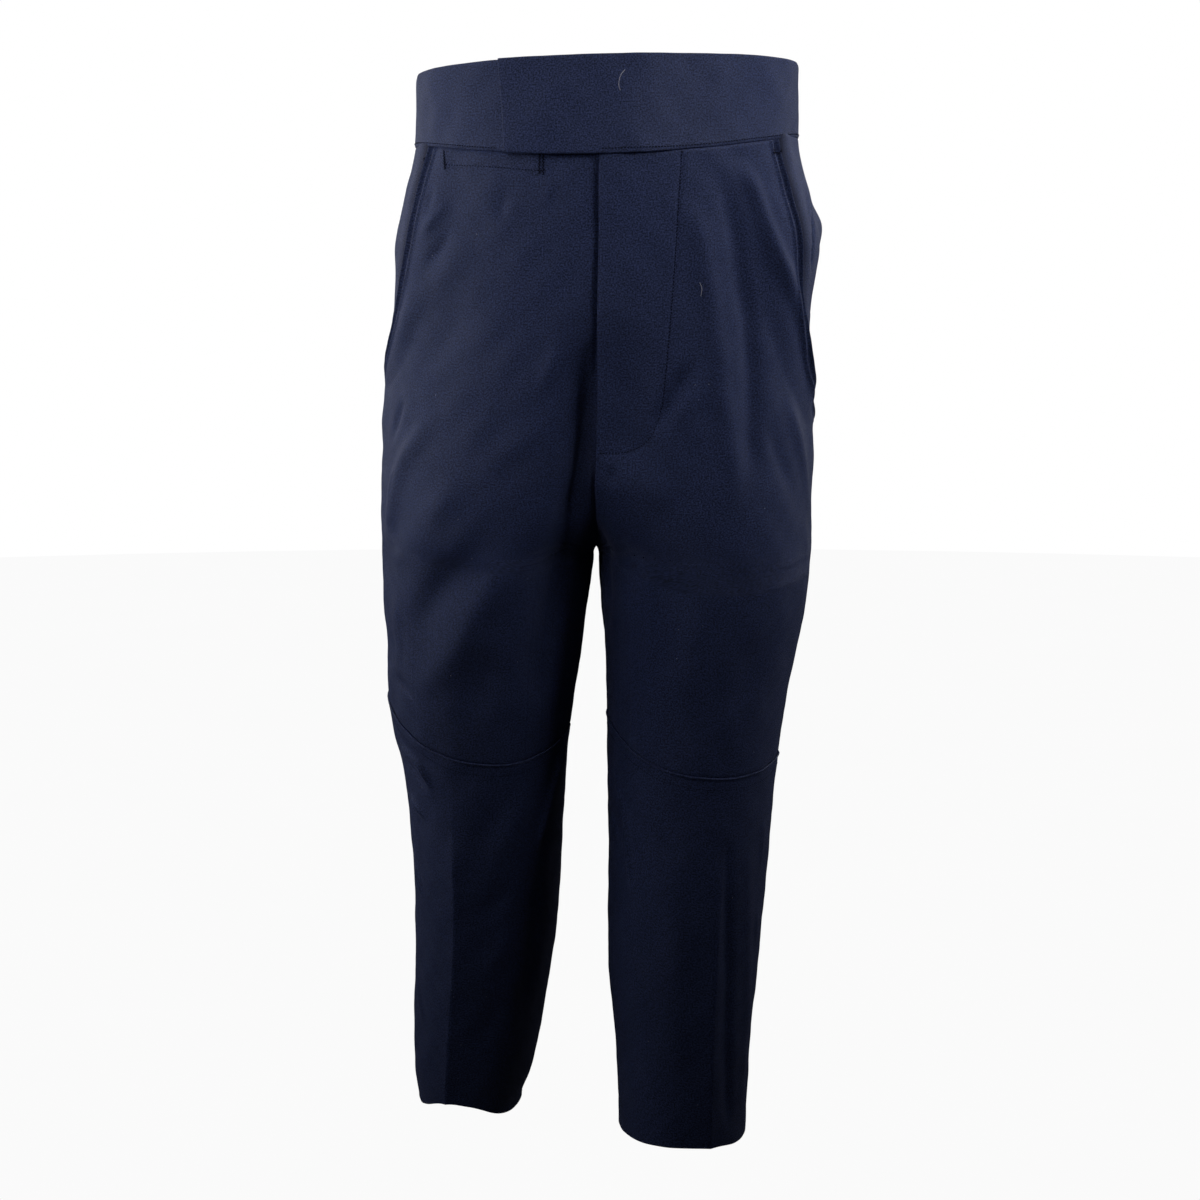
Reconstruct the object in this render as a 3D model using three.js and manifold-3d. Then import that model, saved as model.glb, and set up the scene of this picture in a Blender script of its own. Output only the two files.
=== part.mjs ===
// Dress trousers, filled out as they are when worn: a deep waistband that closes with a long
// tab, a fly with a hidden zip, slanted side pockets, and a curved seam below each knee under
// which the front is tapered and creased. Every cut piece of cloth is a thin wall of its own.
//
// Millimetres, +Z up. The front faces -Y and the wearer's left is +X. The origin is the centre
// of the waist, halfway up the waistband, where the wearer holds the trousers up.

import * as THREE from "three";
import Module from "manifold-3d";

const wasm = await Module();
wasm.setup();

// ---- Cloth and seams ----
const CLOTH = 1.5; // wall of a panel
const BAND_WALL = 2.4; // wall of the waistband, which is folded and stiffened
const SEAM_GAP = 0.3; // between two pieces that meet edge to edge
const LAYER_GAP = 0.6; // between two pieces that lie on each other
const FLY_LIFT = CLOTH + LAYER_GAP; // the left front rides over the right front
const TAB_GAP = 1.6; // room for the hook and bar between the tab and the band under it
const TAB_LIFT = BAND_WALL + TAB_GAP;

// ---- Heights ----
const BAND_TOP = 31;
const WAIST_SEAM = -24; // at the sides and back
const WAIST_DIP = 16; // the waist seam hangs this much lower at the centre front
const SEAM_ROLL = 0.023; // rise of the waist seam per millimetre towards the wearer's left
const TOP_ROLL = 0.03; // the same for the top edge
const FLY_END = -262;

// ---- Fly and tab, across the front ----
const FLY_UNDERLAP = 11; // the right front runs on this far under the left
const FLY_FADE = { from: 8, to: 52 }; // the left front comes down to the form between these
const TAB_END = { top: -81, bottom: -76 }; // the tab's end, left of the centre
const BAND_UNDERLAP = 12; // the right band runs on this far past the fly's edge
const TAB_FADE = { from: 16, to: 60 };

// ---- Side pockets ----
const MOUTH_BEND = 3; // how late the mouth bends back towards the side seam
const MOUTH_CLOSE = 0.8; // how steeply it runs into the seam at its low end
const FACING = {
  underlap: 6, // degrees that the facing runs on under the front
  below: 7, // how far it runs on below the mouth
  depth: 2.5, // how far it lies inside the form,
  sunk: 3, // from this many degrees round from the side seam
};
const MOUTH_PLATEAU = 8; // degrees over which the front stays lifted
const MOUTH_FADE = 20;
const MOUTH_GAPE = 1.5; // how much further the mouth stands open halfway down
const MOUTH_FLAT = { from: 25, to: 55 }; // the front lies flat again this far below the mouth

// ---- Sections ----
// Each leg's section is a rounded oval. Above the crotch the two ovals cut each other at the
// centre line and make the torso. Front, middle and back are an oval's foremost, widest and
// rearmost y; left, right and outer are how far it reaches sideways, on that leg's own side.
const SQUARENESS = 2.3;

// Line is the centre line's x. Cut is where that line lies on both ovals, from 0 at their
// middle to 1 at their inner side, where they touch and the legs part.
const TORSO = [
  { z: 40, line: -7, cut: 0, left: 147, right: 149, front: -106, middle: 0, back: 100 },
  { z: -28, line: -7, cut: 0, left: 148, right: 151, front: -110, middle: 0, back: 104 },
  { z: -62, line: -8, cut: 0.01, left: 157, right: 159, front: -112, middle: 1, back: 110 },
  { z: -100, line: -8, cut: 0.04, left: 165, right: 166, front: -112, middle: 2, back: 118 },
  { z: -150, line: -9, cut: 0.1, left: 159, right: 169, front: -111, middle: 4, back: 127 },
  { z: -205, line: -9, cut: 0.2, left: 157, right: 174, front: -109, middle: 6, back: 131 },
  { z: -262, line: -10, cut: 0.4, left: 160, right: 179, front: -105, middle: 8, back: 127 },
  { z: -303, line: -10, cut: 0.67, left: 161, right: 181, front: -102, middle: 8, back: 118 },
  { z: -338, line: -10, cut: 1, left: 161, right: 180, front: -98, middle: 8, back: 107 },
];
const CROTCH = TORSO[TORSO.length - 1].z;

const LEFT_LEG = [
  { z: -350, outer: 160, inner: -8, front: -97, middle: 7, back: 104 },
  { z: -383, outer: 157, inner: -6, front: -93, middle: 6, back: 97 },
  { z: -415, outer: 151, inner: -3, front: -89, middle: 5, back: 92 },
  { z: -448, outer: 144, inner: -2, front: -85, middle: 4, back: 87 },
  { z: -514, outer: 135, inner: -1, front: -77, middle: 4, back: 80 },
  { z: -580, outer: 130, inner: 0, front: -70, middle: 7, back: 79 },
  { z: -680, outer: 122, inner: 0, front: -61, middle: 11, back: 76 },
  { z: -748, outer: 116, inner: 6, front: -57, middle: 12, back: 71 },
  { z: -826, outer: 113, inner: 9, front: -53, middle: 12, back: 66 },
];

// The right leg is eased back, as one that carries no weight.
const RIGHT_LEG = [
  { z: -350, outer: 180, inner: 12, front: -96, middle: 9, back: 105 },
  { z: -383, outer: 180, inner: 17, front: -90, middle: 10, back: 101 },
  { z: -415, outer: 177, inner: 21, front: -83, middle: 11, back: 98 },
  { z: -448, outer: 178, inner: 26, front: -75, middle: 14, back: 97 },
  { z: -482, outer: 175, inner: 31, front: -66, middle: 18, back: 98 },
  { z: -514, outer: 168, inner: 34, front: -58, middle: 24, back: 100 },
  { z: -580, outer: 162, inner: 38, front: -42, middle: 37, back: 108 },
  { z: -658, outer: 161, inner: 43, front: -21, middle: 53, back: 118 },
  { z: -732, outer: 164, inner: 54, front: -3, middle: 68, back: 127 },
  { z: -785, outer: 165, inner: 64, front: 9, middle: 77, back: 133 },
  { z: -812, outer: 162, inner: 74, front: 15, middle: 82, back: 136 },
];

// A leg's own sections from the waist to the hem, each with its centre and half its width.
function sectionsOf(side, sign, legRows) {
  const withWidth = (r, outer, half) => ({ ...r, centre: outer - half, half });
  const reach = (r) => r[side] - sign * r.line - SEAM_GAP / 2;
  return [
    ...TORSO.map((r) => withWidth(r, r[side], reach(r) / (1 + r.cut))),
    ...legRows.map((r) => withWidth(r, r.outer, (r.outer - r.inner) / 2)),
  ];
}

const LEFT = {
  name: "left",
  sign: 1,
  sections: sectionsOf("left", 1, LEFT_LEG),
  knee: { inner: -468, outer: -503, dip: 25 }, // ends of the knee seam, and its sag between
  hem: { crest: -816, outer: -820, inner: -816 }, // at its highest and at its two sides
  mouth: { degrees: 34, end: -240 }, // round from the side seam at the waist, and its low end
};
const RIGHT = {
  name: "right",
  sign: -1,
  sections: sectionsOf("right", -1, RIGHT_LEG),
  knee: { inner: -484, outer: -455, dip: 34 },
  hem: { crest: -803, outer: -815, inner: -818 },
  mouth: { degrees: 31, end: -210 },
};

const FRONT_COLUMNS = 15;
const BACK_COLUMNS = 12;
const CREASE = { column: 9, height: 4, width: 0.07, from: -525, full: -600 };
const KNEE_ROUND = 1.5; // 1 rounds the knee seam like an oval, 2 like a parabola

// ---- Small functions ----
const lerp = (a, b, share) => a + (b - a) * share;
const clamp01 = (value) => Math.min(1, Math.max(0, value));
const ease = (value, from, to) => {
  const share = clamp01((value - from) / (to - from));
  return share * share * (3 - 2 * share);
};
const radians = THREE.MathUtils.degToRad;

// A smooth curve through a column of a table whose z falls from row to row.
function smooth(table, column, z) {
  const last = table.length - 1;
  const at = Math.min(last - 1, Math.max(0, table.findIndex((r) => r.z <= z) - 1));
  const low = z < table[last].z ? last - 1 : at;
  const slope = (k) => {
    const a = table[Math.max(0, k - 1)];
    const b = table[Math.min(last, k + 1)];
    return (b[column] - a[column]) / (b.z - a.z);
  };
  const [a, b] = [table[low], table[low + 1]];
  const span = b.z - a.z;
  const share = clamp01((z - a.z) / span);
  const share2 = share * share;
  const share3 = share2 * share;
  return (
    (2 * share3 - 3 * share2 + 1) * a[column] +
    (share3 - 2 * share2 + share) * span * slope(low) +
    (3 * share2 - 2 * share3) * b[column] +
    (share3 - share2) * span * slope(low + 1)
  );
}

// ---- The form that the cloth lies on ----
// The angle is 0 at the side seam, grows towards the front and is negative towards the back.
const power = (value) => Math.sign(value) * Math.abs(value) ** (2 / SQUARENESS);
const unpower = (value) => Math.sign(value) * Math.abs(value) ** (SQUARENESS / 2);

function formPoint(leg, z, angle) {
  const at = (column) => smooth(leg.sections, column, z);
  const deep = Math.sin(angle);
  const reach = deep >= 0 ? at("front") - at("middle") : at("middle") - at("back");
  return new THREE.Vector3(
    leg.sign * (at("centre") + at("half") * power(Math.cos(angle))),
    at("middle") + reach * power(deep),
    z,
  );
}

// A point moved out from the form along its normal.
function clothPoint(leg, z, angle, lift) {
  const step = 0.01;
  const around = formPoint(leg, z, angle + step).sub(formPoint(leg, z, angle - step));
  const along = formPoint(leg, z + 1, angle).sub(formPoint(leg, z - 1, angle));
  const normal = around.cross(along).normalize();
  return formPoint(leg, z, angle).addScaledVector(normal, -lift * leg.sign);
}

// The angle at which a leg's section crosses the upright plane at x.
function angleAt(leg, z, x) {
  const share = (leg.sign * x - smooth(leg.sections, "centre", z)) / smooth(leg.sections, "half", z);
  return Math.acos(unpower(Math.max(-1, Math.min(1, share))));
}

const centreX = (z) => smooth(TORSO, "line", z);

// The angle that leaves half a seam gap at an oval's side, on a front or a back panel.
function gapAngle(leg, z, panel) {
  const reach = Math.abs(smooth(leg.sections, panel, z) - smooth(leg.sections, "middle", z));
  return Math.asin(unpower(SEAM_GAP / 2 / reach));
}

// Where a front or back panel ends on the inside: at the centre line, or at the inseam.
function innerAngle(leg, z, panel, past = -SEAM_GAP / 2) {
  const inseam = Math.PI - gapAngle(leg, z, panel);
  return z > CROTCH ? Math.min(inseam, angleAt(leg, z, centreX(z) - leg.sign * past)) : inseam;
}

// ---- Seam lines ----
const waistSeam = (leg, angle) =>
  WAIST_SEAM - WAIST_DIP * Math.max(0, Math.sin(angle)) ** 2 +
  SEAM_ROLL * formPoint(leg, WAIST_SEAM, angle).x;
const bandTop = (leg, angle) => BAND_TOP + TOP_ROLL * formPoint(leg, BAND_TOP, angle).x;
// The hem is highest a little to the outside of its middle, where the crease meets it.
const HEM_CREST = 0.3;
const hem = (leg, angle) => {
  const { crest, outer, inner } = leg.hem;
  const side = Math.cos(angle);
  return crest + (outer - crest) * ease(side, HEM_CREST, 1) +
    (inner - crest) * ease(-side, -HEM_CREST, 0.8);
};
const kneeSeam = (leg, share) =>
  lerp(leg.knee.inner, leg.knee.outer, share) - leg.knee.dip * Math.sin(Math.PI * share) ** KNEE_ROUND;

// How far down the pocket mouth a height is, from 0 at the waist to 1 at the mouth's end.
const downMouth = (leg, z) => clamp01((WAIST_SEAM - z) / (WAIST_SEAM - leg.mouth.end));

// The pocket mouth's angle from the side seam, which it meets at its lower end.
function mouthAngle(leg, z) {
  return radians(leg.mouth.degrees) * (1 - downMouth(leg, z) ** MOUTH_BEND) ** MOUTH_CLOSE;
}

// ---- How far a panel stands off the form ----
function mouthLift(leg, z, angle) {
  const away = THREE.MathUtils.radToDeg(angle - mouthAngle(leg, z));
  const height = FLY_LIFT + MOUTH_GAPE * Math.sin(Math.PI * downMouth(leg, z));
  const low = ease(leg.mouth.end - z, MOUTH_FLAT.to, MOUTH_FLAT.from);
  return height * low * (1 - ease(away, MOUTH_PLATEAU, MOUTH_FADE));
}

function flyLift(leg, z, angle) {
  if (leg === RIGHT) return 0;
  const across = formPoint(leg, z, angle).x - centreX(z);
  return FLY_LIFT * (1 - ease(across, FLY_FADE.from, FLY_FADE.to)) * ease(z, -303, -280);
}

function creaseLift(z, share) {
  const away = Math.abs(share - CREASE.column / FRONT_COLUMNS) / CREASE.width;
  return CREASE.height * Math.exp(-away) * (1 - ease(z, CREASE.full, CREASE.from));
}

// ---- Making solids ----
const finishes = {
  cloth: { color: 0x262b42, roughness: 0.85, metalness: 0 },
  tape: { color: 0x151826, roughness: 0.8, metalness: 0 },
  metal: { color: 0x9a9a9c, roughness: 0.35, metalness: 1 },
};

function addMesh(group, name, geometry, finish) {
  const mesh = new THREE.Mesh(geometry, new THREE.MeshStandardMaterial(finishes[finish]));
  mesh.name = name;
  group.add(mesh);
  return mesh;
}

// A closed wall from a grid: outer and inner give the two faces' points for a column and row.
function wallGeometry(columns, rows, outer, inner) {
  const positions = [];
  const index = [];
  const across = columns + 1;
  const layer = across * (rows + 1);
  for (const face of [outer, inner])
    for (let j = 0; j <= rows; j++)
      for (let i = 0; i <= columns; i++) positions.push(...face(i, j).toArray());
  const quad = (a, b, c, d) => index.push(a, b, c, a, c, d);
  const at = (i, j) => i + across * j;
  for (let j = 0; j < rows; j++)
    for (let i = 0; i < columns; i++) {
      const [a, b, c, d] = [at(i, j), at(i + 1, j), at(i + 1, j + 1), at(i, j + 1)];
      quad(a, b, c, d);
      quad(a + layer, d + layer, c + layer, b + layer);
    }
  const rim = [];
  for (let i = 0; i < columns; i++) rim.push(at(i, 0));
  for (let j = 0; j < rows; j++) rim.push(at(columns, j));
  for (let i = columns; i > 0; i--) rim.push(at(i, rows));
  for (let j = rows; j > 0; j--) rim.push(at(0, j));
  rim.forEach((a, k) => {
    const b = rim[(k + 1) % rim.length];
    quad(b, a, a + layer, b + layer);
  });
  return facingOut(new Float32Array(positions), index);
}

function facingOut(positions, index) {
  const corner = (k) => new THREE.Vector3().fromArray(positions, 3 * index[k]);
  let volume = 0;
  for (let k = 0; k < index.length; k += 3)
    volume += corner(k).dot(corner(k + 1).cross(corner(k + 2)));
  if (volume < 0)
    for (let k = 0; k < index.length; k += 3)
      [index[k + 1], index[k + 2]] = [index[k + 2], index[k + 1]];
  const geometry = new THREE.BufferGeometry();
  geometry.setAttribute("position", new THREE.BufferAttribute(positions, 3));
  geometry.setIndex(index);
  geometry.computeVertexNormals();
  return geometry;
}

// A panel's grid: angle and height for a column and row, its lift there, and its wall.
function panelGeometry({ leg, columns, rows, place, lift, wall }) {
  const face = (depth) => (i, j) => {
    const { z, angle } = place(i, j);
    return clothPoint(leg, z, angle, lift(z, angle, i) - depth);
  };
  return wallGeometry(columns, rows, face(0), face(wall));
}

// Rows of a panel: a few that turn from the upper seam line to a level, levels, and a few that
// turn from the last level to the lower seam line.
function rowHeights(upper, levels, lower, blendRows) {
  const blend = (share, from, to) => (at) => lerp(from(at), to(at), share);
  const level = levels.map((z) => () => z);
  const [first, last] = [level[0], level[level.length - 1]];
  const shares = Array.from({ length: blendRows }, (_, k) => k / blendRows);
  return [
    ...shares.map((share) => blend(share, upper, first)),
    ...level,
    ...shares.slice(1).map((share) => blend(share, last, lower)),
    lower,
  ];
}

// ---- The pieces ----
const THIGH_LEVELS = [-75, -120, -165, -210, -240, -262, -280, -303, -318, -329, -335,
  CROTCH, -344, -350, -362, -385, -412, -440];
const SHIN_LEVELS = [-517, -550, -600, -655, -710, -765];
const BACK_LEVELS = [...THIGH_LEVELS, -478, ...SHIN_LEVELS];
const FACING_LEVELS = [-60, -90, -120, -150, -180, -200];

function frontThigh(leg) {
  const heights = rowHeights(
    ({ angle }) => waistSeam(leg, angle) - SEAM_GAP / 2,
    THIGH_LEVELS,
    ({ share }) => kneeSeam(leg, share) + SEAM_GAP / 2,
    3,
  );
  const place = (i, j) => {
    const share = i / FRONT_COLUMNS;
    const rough = heights[j]({ share, angle: lerp(Math.PI / 2, 0, share) });
    const underlap = leg === RIGHT ? FLY_UNDERLAP * ease(rough, -280, -250) : 0;
    const inner = innerAngle(leg, rough, "front", underlap - SEAM_GAP / 2);
    const angle = lerp(inner, mouthAngle(leg, rough) + gapAngle(leg, rough, "front"), share);
    return { z: heights[j]({ share, angle }), angle };
  };
  return panelGeometry({
    leg, columns: FRONT_COLUMNS, rows: heights.length - 1, place, wall: CLOTH,
    lift: (z, angle) => Math.max(flyLift(leg, z, angle), mouthLift(leg, z, angle)),
  });
}

function frontShin(leg) {
  const heights = rowHeights(
    ({ share }) => kneeSeam(leg, share) - SEAM_GAP / 2,
    SHIN_LEVELS,
    ({ angle }) => hem(leg, angle),
    2,
  );
  const place = (i, j) => {
    const share = i / FRONT_COLUMNS;
    const rough = heights[j]({ share, angle: Math.PI * (1 - share) });
    const gap = gapAngle(leg, rough, "front");
    const angle = lerp(Math.PI - gap, gap, share);
    return { z: heights[j]({ share, angle }), angle };
  };
  return panelGeometry({
    leg, columns: FRONT_COLUMNS, rows: heights.length - 1, place, wall: CLOTH,
    lift: (z, angle, i) => creaseLift(z, i / FRONT_COLUMNS),
  });
}

function back(leg) {
  const heights = rowHeights(
    ({ angle }) => waistSeam(leg, angle) - SEAM_GAP / 2,
    BACK_LEVELS,
    ({ angle }) => hem(leg, angle),
    2,
  );
  const place = (i, j) => {
    const share = i / BACK_COLUMNS;
    const rough = heights[j]({ angle: -share * Math.PI / 2 });
    const angle = -lerp(gapAngle(leg, rough, "back"), innerAngle(leg, rough, "back"), share);
    return { z: heights[j]({ angle }), angle };
  };
  return panelGeometry({
    leg, columns: BACK_COLUMNS, rows: heights.length - 1, place, wall: CLOTH, lift: () => 0,
  });
}

function pocketFacing(leg) {
  const columns = 6;
  const lower = leg.mouth.end - FACING.below;
  const heights = rowHeights(
    ({ angle }) => waistSeam(leg, angle) - SEAM_GAP / 2, FACING_LEVELS, () => lower, 1,
  );
  const place = (i, j) => {
    const rough = heights[j]({ angle: 0 });
    const inner = mouthAngle(leg, rough) + radians(FACING.underlap);
    const angle = lerp(inner, gapAngle(leg, rough, "front"), i / columns);
    return { z: heights[j]({ angle }), angle };
  };
  const lift = (z, angle) => -FACING.depth * ease(angle, 0, radians(FACING.sunk));
  return panelGeometry({ leg, columns, rows: heights.length - 1, place, wall: CLOTH, lift });
}

// A waistband half runs from the centre back round its own side to endX past the centre front.
function waistband(leg, columns, endX, lift) {
  const rows = 3;
  const place = (i, j) => {
    const share = j / rows;
    const start = -angleAt(leg, 0, centreX(0) + leg.sign * SEAM_GAP / 2);
    const end = angleAt(leg, 0, lerp(endX.top, endX.bottom, share));
    const angle = lerp(start, end, i / columns);
    const bottom = waistSeam(leg, angle) + SEAM_GAP / 2;
    return { z: lerp(bandTop(leg, angle), bottom, share), angle };
  };
  return panelGeometry({ leg, columns, rows, place, lift, wall: BAND_WALL });
}

function tabLift(z, angle) {
  if (angle < 0) return 0;
  const across = formPoint(LEFT, z, angle).x;
  return TAB_LIFT * (1 - ease(across, TAB_FADE.from, TAB_FADE.to));
}

// ---- The hidden closure ----
const ZIP = { left: -8, right: 27, top: -43, bottom: FLY_END + 10, thick: 0.8 };
const ZIP_DEPTH = CLOTH + LAYER_GAP + SEAM_GAP; // from the right front's face back to the tape's
const SLIDER = { x: 15.5, down: 8, width: 6, depth: 1.5, height: 11 };
const PULL = { width: 4, depth: 0.9, length: 20, hidden: 2 }; // its hidden end is in the slider
const HOOK = { x: -68, z: -4, width: 13, height: 12, thick: 0.8 };
const BAR = { x: -52, width: 5 };

// A point behind the right front, x away from the centre line.
function behindFly(z, x, depth) {
  return clothPoint(RIGHT, z, angleAt(RIGHT, z, centreX(z) + x), -depth);
}

// The zip's tape hangs behind both fronts as one closed ribbon.
function zipTape() {
  const rows = 12;
  const columns = 4;
  const face = (depth) => (i, j) => {
    const z = lerp(ZIP.top, ZIP.bottom, j / rows);
    return behindFly(z, lerp(ZIP.left, ZIP.right, i / columns), depth);
  };
  return wallGeometry(columns, rows, face(ZIP_DEPTH), face(ZIP_DEPTH + ZIP.thick));
}

// A box as a manifold-3d solid, from its centre and size.
function boxSolid(width, depth, height, x, y, z) {
  const box = new THREE.BoxGeometry(width, depth, height).translate(x, y, z);
  const corners = [];
  const seen = new Map();
  const merged = Array.from(box.index.array, (k) => {
    const point = [0, 1, 2].map((axis) => box.attributes.position.array[3 * k + axis]);
    const key = point.join();
    if (!seen.has(key)) {
      seen.set(key, corners.length / 3);
      corners.push(...point);
    }
    return seen.get(key);
  });
  return new wasm.Manifold(new wasm.Mesh({
    numProp: 3,
    vertProperties: new Float32Array(corners),
    triVerts: new Uint32Array(merged),
  }));
}

function geometryOf(solid) {
  const mesh = solid.getMesh();
  return facingOut(new Float32Array(mesh.vertProperties), Array.from(mesh.triVerts));
}

// The slider sits at the top of the zip with its pull lying down the tape.
function zipSlider() {
  const z = ZIP.top - SLIDER.down;
  const seat = behindFly(z, SLIDER.x, ZIP_DEPTH - 2 * SEAM_GAP - SLIDER.depth / 2);
  const body = boxSolid(SLIDER.width, SLIDER.depth, SLIDER.height, seat.x, seat.y, z);
  const pullZ = z - (SLIDER.height + PULL.length) / 2 + PULL.hidden;
  const pull = boxSolid(PULL.width, PULL.depth, PULL.length, seat.x, seat.y, pullZ);
  return geometryOf(body.add(pull));
}

// A thin plate that lies at lift on a leg's form, across width from x.
function plate(leg, x, width, lift) {
  const columns = 3;
  const face = (depth) => (i, j) => {
    const z = HOOK.z + lerp(HOOK.height / 2, -HOOK.height / 2, j);
    const angle = angleAt(leg, z, x + (width * i) / columns);
    return clothPoint(leg, z, angle, lift - depth);
  };
  return wallGeometry(columns, 1, face(0), face(HOOK.thick));
}

// ---- The trousers ----
const trousers = new THREE.Group();
for (const leg of [RIGHT, LEFT]) {
  addMesh(trousers, `front_${leg.name}_thigh`, frontThigh(leg), "cloth");
  addMesh(trousers, `front_${leg.name}_shin`, frontShin(leg), "cloth");
  addMesh(trousers, `back_${leg.name}`, back(leg), "cloth");
  addMesh(trousers, `pocket_facing_${leg.name}`, pocketFacing(leg), "cloth");
}
const underlap = { top: BAND_UNDERLAP, bottom: BAND_UNDERLAP };
addMesh(trousers, "waistband_right", waistband(RIGHT, 18, underlap, () => 0), "cloth");
addMesh(trousers, "waistband_left", waistband(LEFT, 24, TAB_END, tabLift), "cloth");
addMesh(trousers, "zip_tape", zipTape(), "tape");
addMesh(trousers, "zip_slider", zipSlider(), "metal");
const hook = plate(LEFT, HOOK.x, HOOK.width, TAB_GAP - 2 * SEAM_GAP);
const bar = plate(RIGHT, BAR.x, BAR.width, HOOK.thick + SEAM_GAP);
addMesh(trousers, "waist_hook", hook, "metal");
addMesh(trousers, "waist_bar", bar, "metal");

export default trousers;
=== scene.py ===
"""Dress trousers of dark navy twill, filled out as they are when worn.

Every cut piece of cloth is a sheet of its own, laid over one smooth form for each leg and
then pushed out or in by seams, layers and folds. The frame's metres and axes are used: +Z is
up, the front faces -Y, the wearer's left is +X, and the origin is the centre of the waist.
"""

import math

import bpy
import numpy as np
from bpy.props import FloatProperty, FloatVectorProperty, PointerProperty
from bpy.types import Operator, Panel, PropertyGroup
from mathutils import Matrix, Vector


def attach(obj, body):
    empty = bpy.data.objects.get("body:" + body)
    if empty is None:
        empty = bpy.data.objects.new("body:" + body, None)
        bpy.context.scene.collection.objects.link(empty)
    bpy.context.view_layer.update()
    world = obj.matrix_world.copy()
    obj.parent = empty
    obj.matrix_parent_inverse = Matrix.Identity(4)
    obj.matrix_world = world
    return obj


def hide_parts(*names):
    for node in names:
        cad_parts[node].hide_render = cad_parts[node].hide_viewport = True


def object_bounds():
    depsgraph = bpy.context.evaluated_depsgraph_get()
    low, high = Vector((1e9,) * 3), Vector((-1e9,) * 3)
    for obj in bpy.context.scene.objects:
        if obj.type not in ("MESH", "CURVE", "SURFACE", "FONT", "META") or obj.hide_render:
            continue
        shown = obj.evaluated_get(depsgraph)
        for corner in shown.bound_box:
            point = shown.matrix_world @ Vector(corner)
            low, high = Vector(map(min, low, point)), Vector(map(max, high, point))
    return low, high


bl_info = {
    "name": "Dress trousers",
    "version": (1, 0, 0),
    "blender": (4, 5, 0),
    "location": "View3D > Sidebar > Trousers",
    "description": "Builds the cloth, stitching and fastenings of a pair of dress trousers",
    "category": "Object",
}

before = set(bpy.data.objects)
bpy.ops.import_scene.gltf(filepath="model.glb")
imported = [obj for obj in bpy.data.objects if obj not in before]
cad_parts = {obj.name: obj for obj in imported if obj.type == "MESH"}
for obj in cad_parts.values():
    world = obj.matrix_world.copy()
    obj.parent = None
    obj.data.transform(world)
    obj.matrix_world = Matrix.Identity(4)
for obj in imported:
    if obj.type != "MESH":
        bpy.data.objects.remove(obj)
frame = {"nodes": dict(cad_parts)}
CAD_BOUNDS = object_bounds()

MM = 0.001

# ---------------------------------------------------------------- cut, in millimetres
SEAM_GAP = 0.08  # between two pieces that meet edge to edge
# How the halves press together at the back: how far past the centre line each goes, how far
# from it the cloth gives, and how soon that stops above the crotch.
SEAT = {"past": 0.3, "give": 12, "fade": 3}
LAYER_GAP = 0.6  # between two pieces that lie on each other
CLOTH = 1.5  # wall of one layer
BAND_WALL = 2.4  # wall of the folded waistband
FLY_LIFT = CLOTH + LAYER_GAP  # the left front rides over the right front
TAB_GAP = 1.6  # room for the hook and bar under the tab
TAB_LIFT = BAND_WALL + TAB_GAP
TAB_DROP = 1.1  # the tab's lower edge hangs this far over the fronts

BAND_TOP = 31  # heights from the origin, at the centre of the waist
WAIST_SEAM = -24
WAIST_DIP = 16  # the waist seam hangs this much lower at the centre front
SEAM_ROLL = 0.023  # rise of the waist seam per millimetre towards the wearer's left
TOP_ROLL = 0.03  # the same for the top edge
BAND_CORNER = {"drop": 3, "fade": 16}  # the top edge sinks at each side; fade is in degrees

FLY_END = -262
FLY_UNDERLAP = 11  # how far the right front goes in under the fly
UNDERLAP_FOOT = (-280, -250)  # heights between which that underlap starts
FLY_FADE = (8, 52)  # distances from the centre line between which the lift dies out
FLY_FOOT = (-303, -280)  # heights between which it starts
TAB_END = {"top": -81, "bottom": -76}  # where the tab's end is, across the front
BAND_UNDERLAP = {"top": 12, "bottom": 12}  # where the right half ends, under the tab
TAB_FADE = (16, 60)  # distances across the front between which the tab's lift dies out

MOUTH_BEND, MOUTH_CLOSE = 3, 0.8  # how the mouth bends back into the side seam
MOUTH_FADE = (8, 20)  # degrees from the mouth between which its lift dies out
MOUTH_GAPE = 2.6  # how far the mouth stands open at its middle
MOUTH_FLAT = (25, 55)  # distances below the mouth's end between which the cloth lies flat
# The facing: underlap and sunk are in degrees, and open is above the mouth's lower end. Shade is
# how far the painted shade reaches past the mouth's edge, and open is where that painted shade
# fades in.
FACING = {
    "underlap": 6, "below": 7, "depth": 0.5, "sunk": 3, "groove": 6, "reach": 4,
    "bulge": 1.6, "belly": 16, "round": 0.3, "shade": 13, "open": (10, 60),
}
# The painted shade behind the fly's lower end. It starts, is full, goes and is gone at these
# heights.
FLY_SHADE = {
    "share": 0.55, "width": 15, "slope": 0.05, "from": -160, "full": -250, "low": -380, "out": -430,
}
MOUTH_STITCH = 6  # from the mouth's edge to the row of stitches beside it
MOUTH_ROLL = ((0.4, 1.9, 1.3), (4.2, -1.7, 1.9), (8, 1.5, 1.5))  # place, height and width
ROLL_FOOT = (-5, 15)  # heights from the mouth's end between which the roll starts
# Where the right front goes in under the fly's edge.
CREVICE = {"depth": 2.2, "width": 2, "reach": -20, "foot": (-325, -290), "top": (-42, -58)}

CREASE = {"share": 0.6, "height": 5, "width": 0.07, "from": -525, "full": -600}
BACK_CREASE = 2.4  # height
# The hem turns from its crest towards each side, and is at its inner height from here.
HEM_CREST, HEM_INNER = 0.3, 0.8
KNEE_ROUND = 1.5  # how evenly the knee seam's dip is rounded
KNEE_STEP = {"height": 0.15, "flat": 8, "fade": 9}  # the seam's allowance, pressed down
KNEE_ROLL = {"height": 1.3, "width": 1.0, "fade": 0.06}  # the seam's rolled edge
EDGE_TURN = {"fly": 4, "mouth": 8}  # how soon a free edge turns into a sewn one

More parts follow.
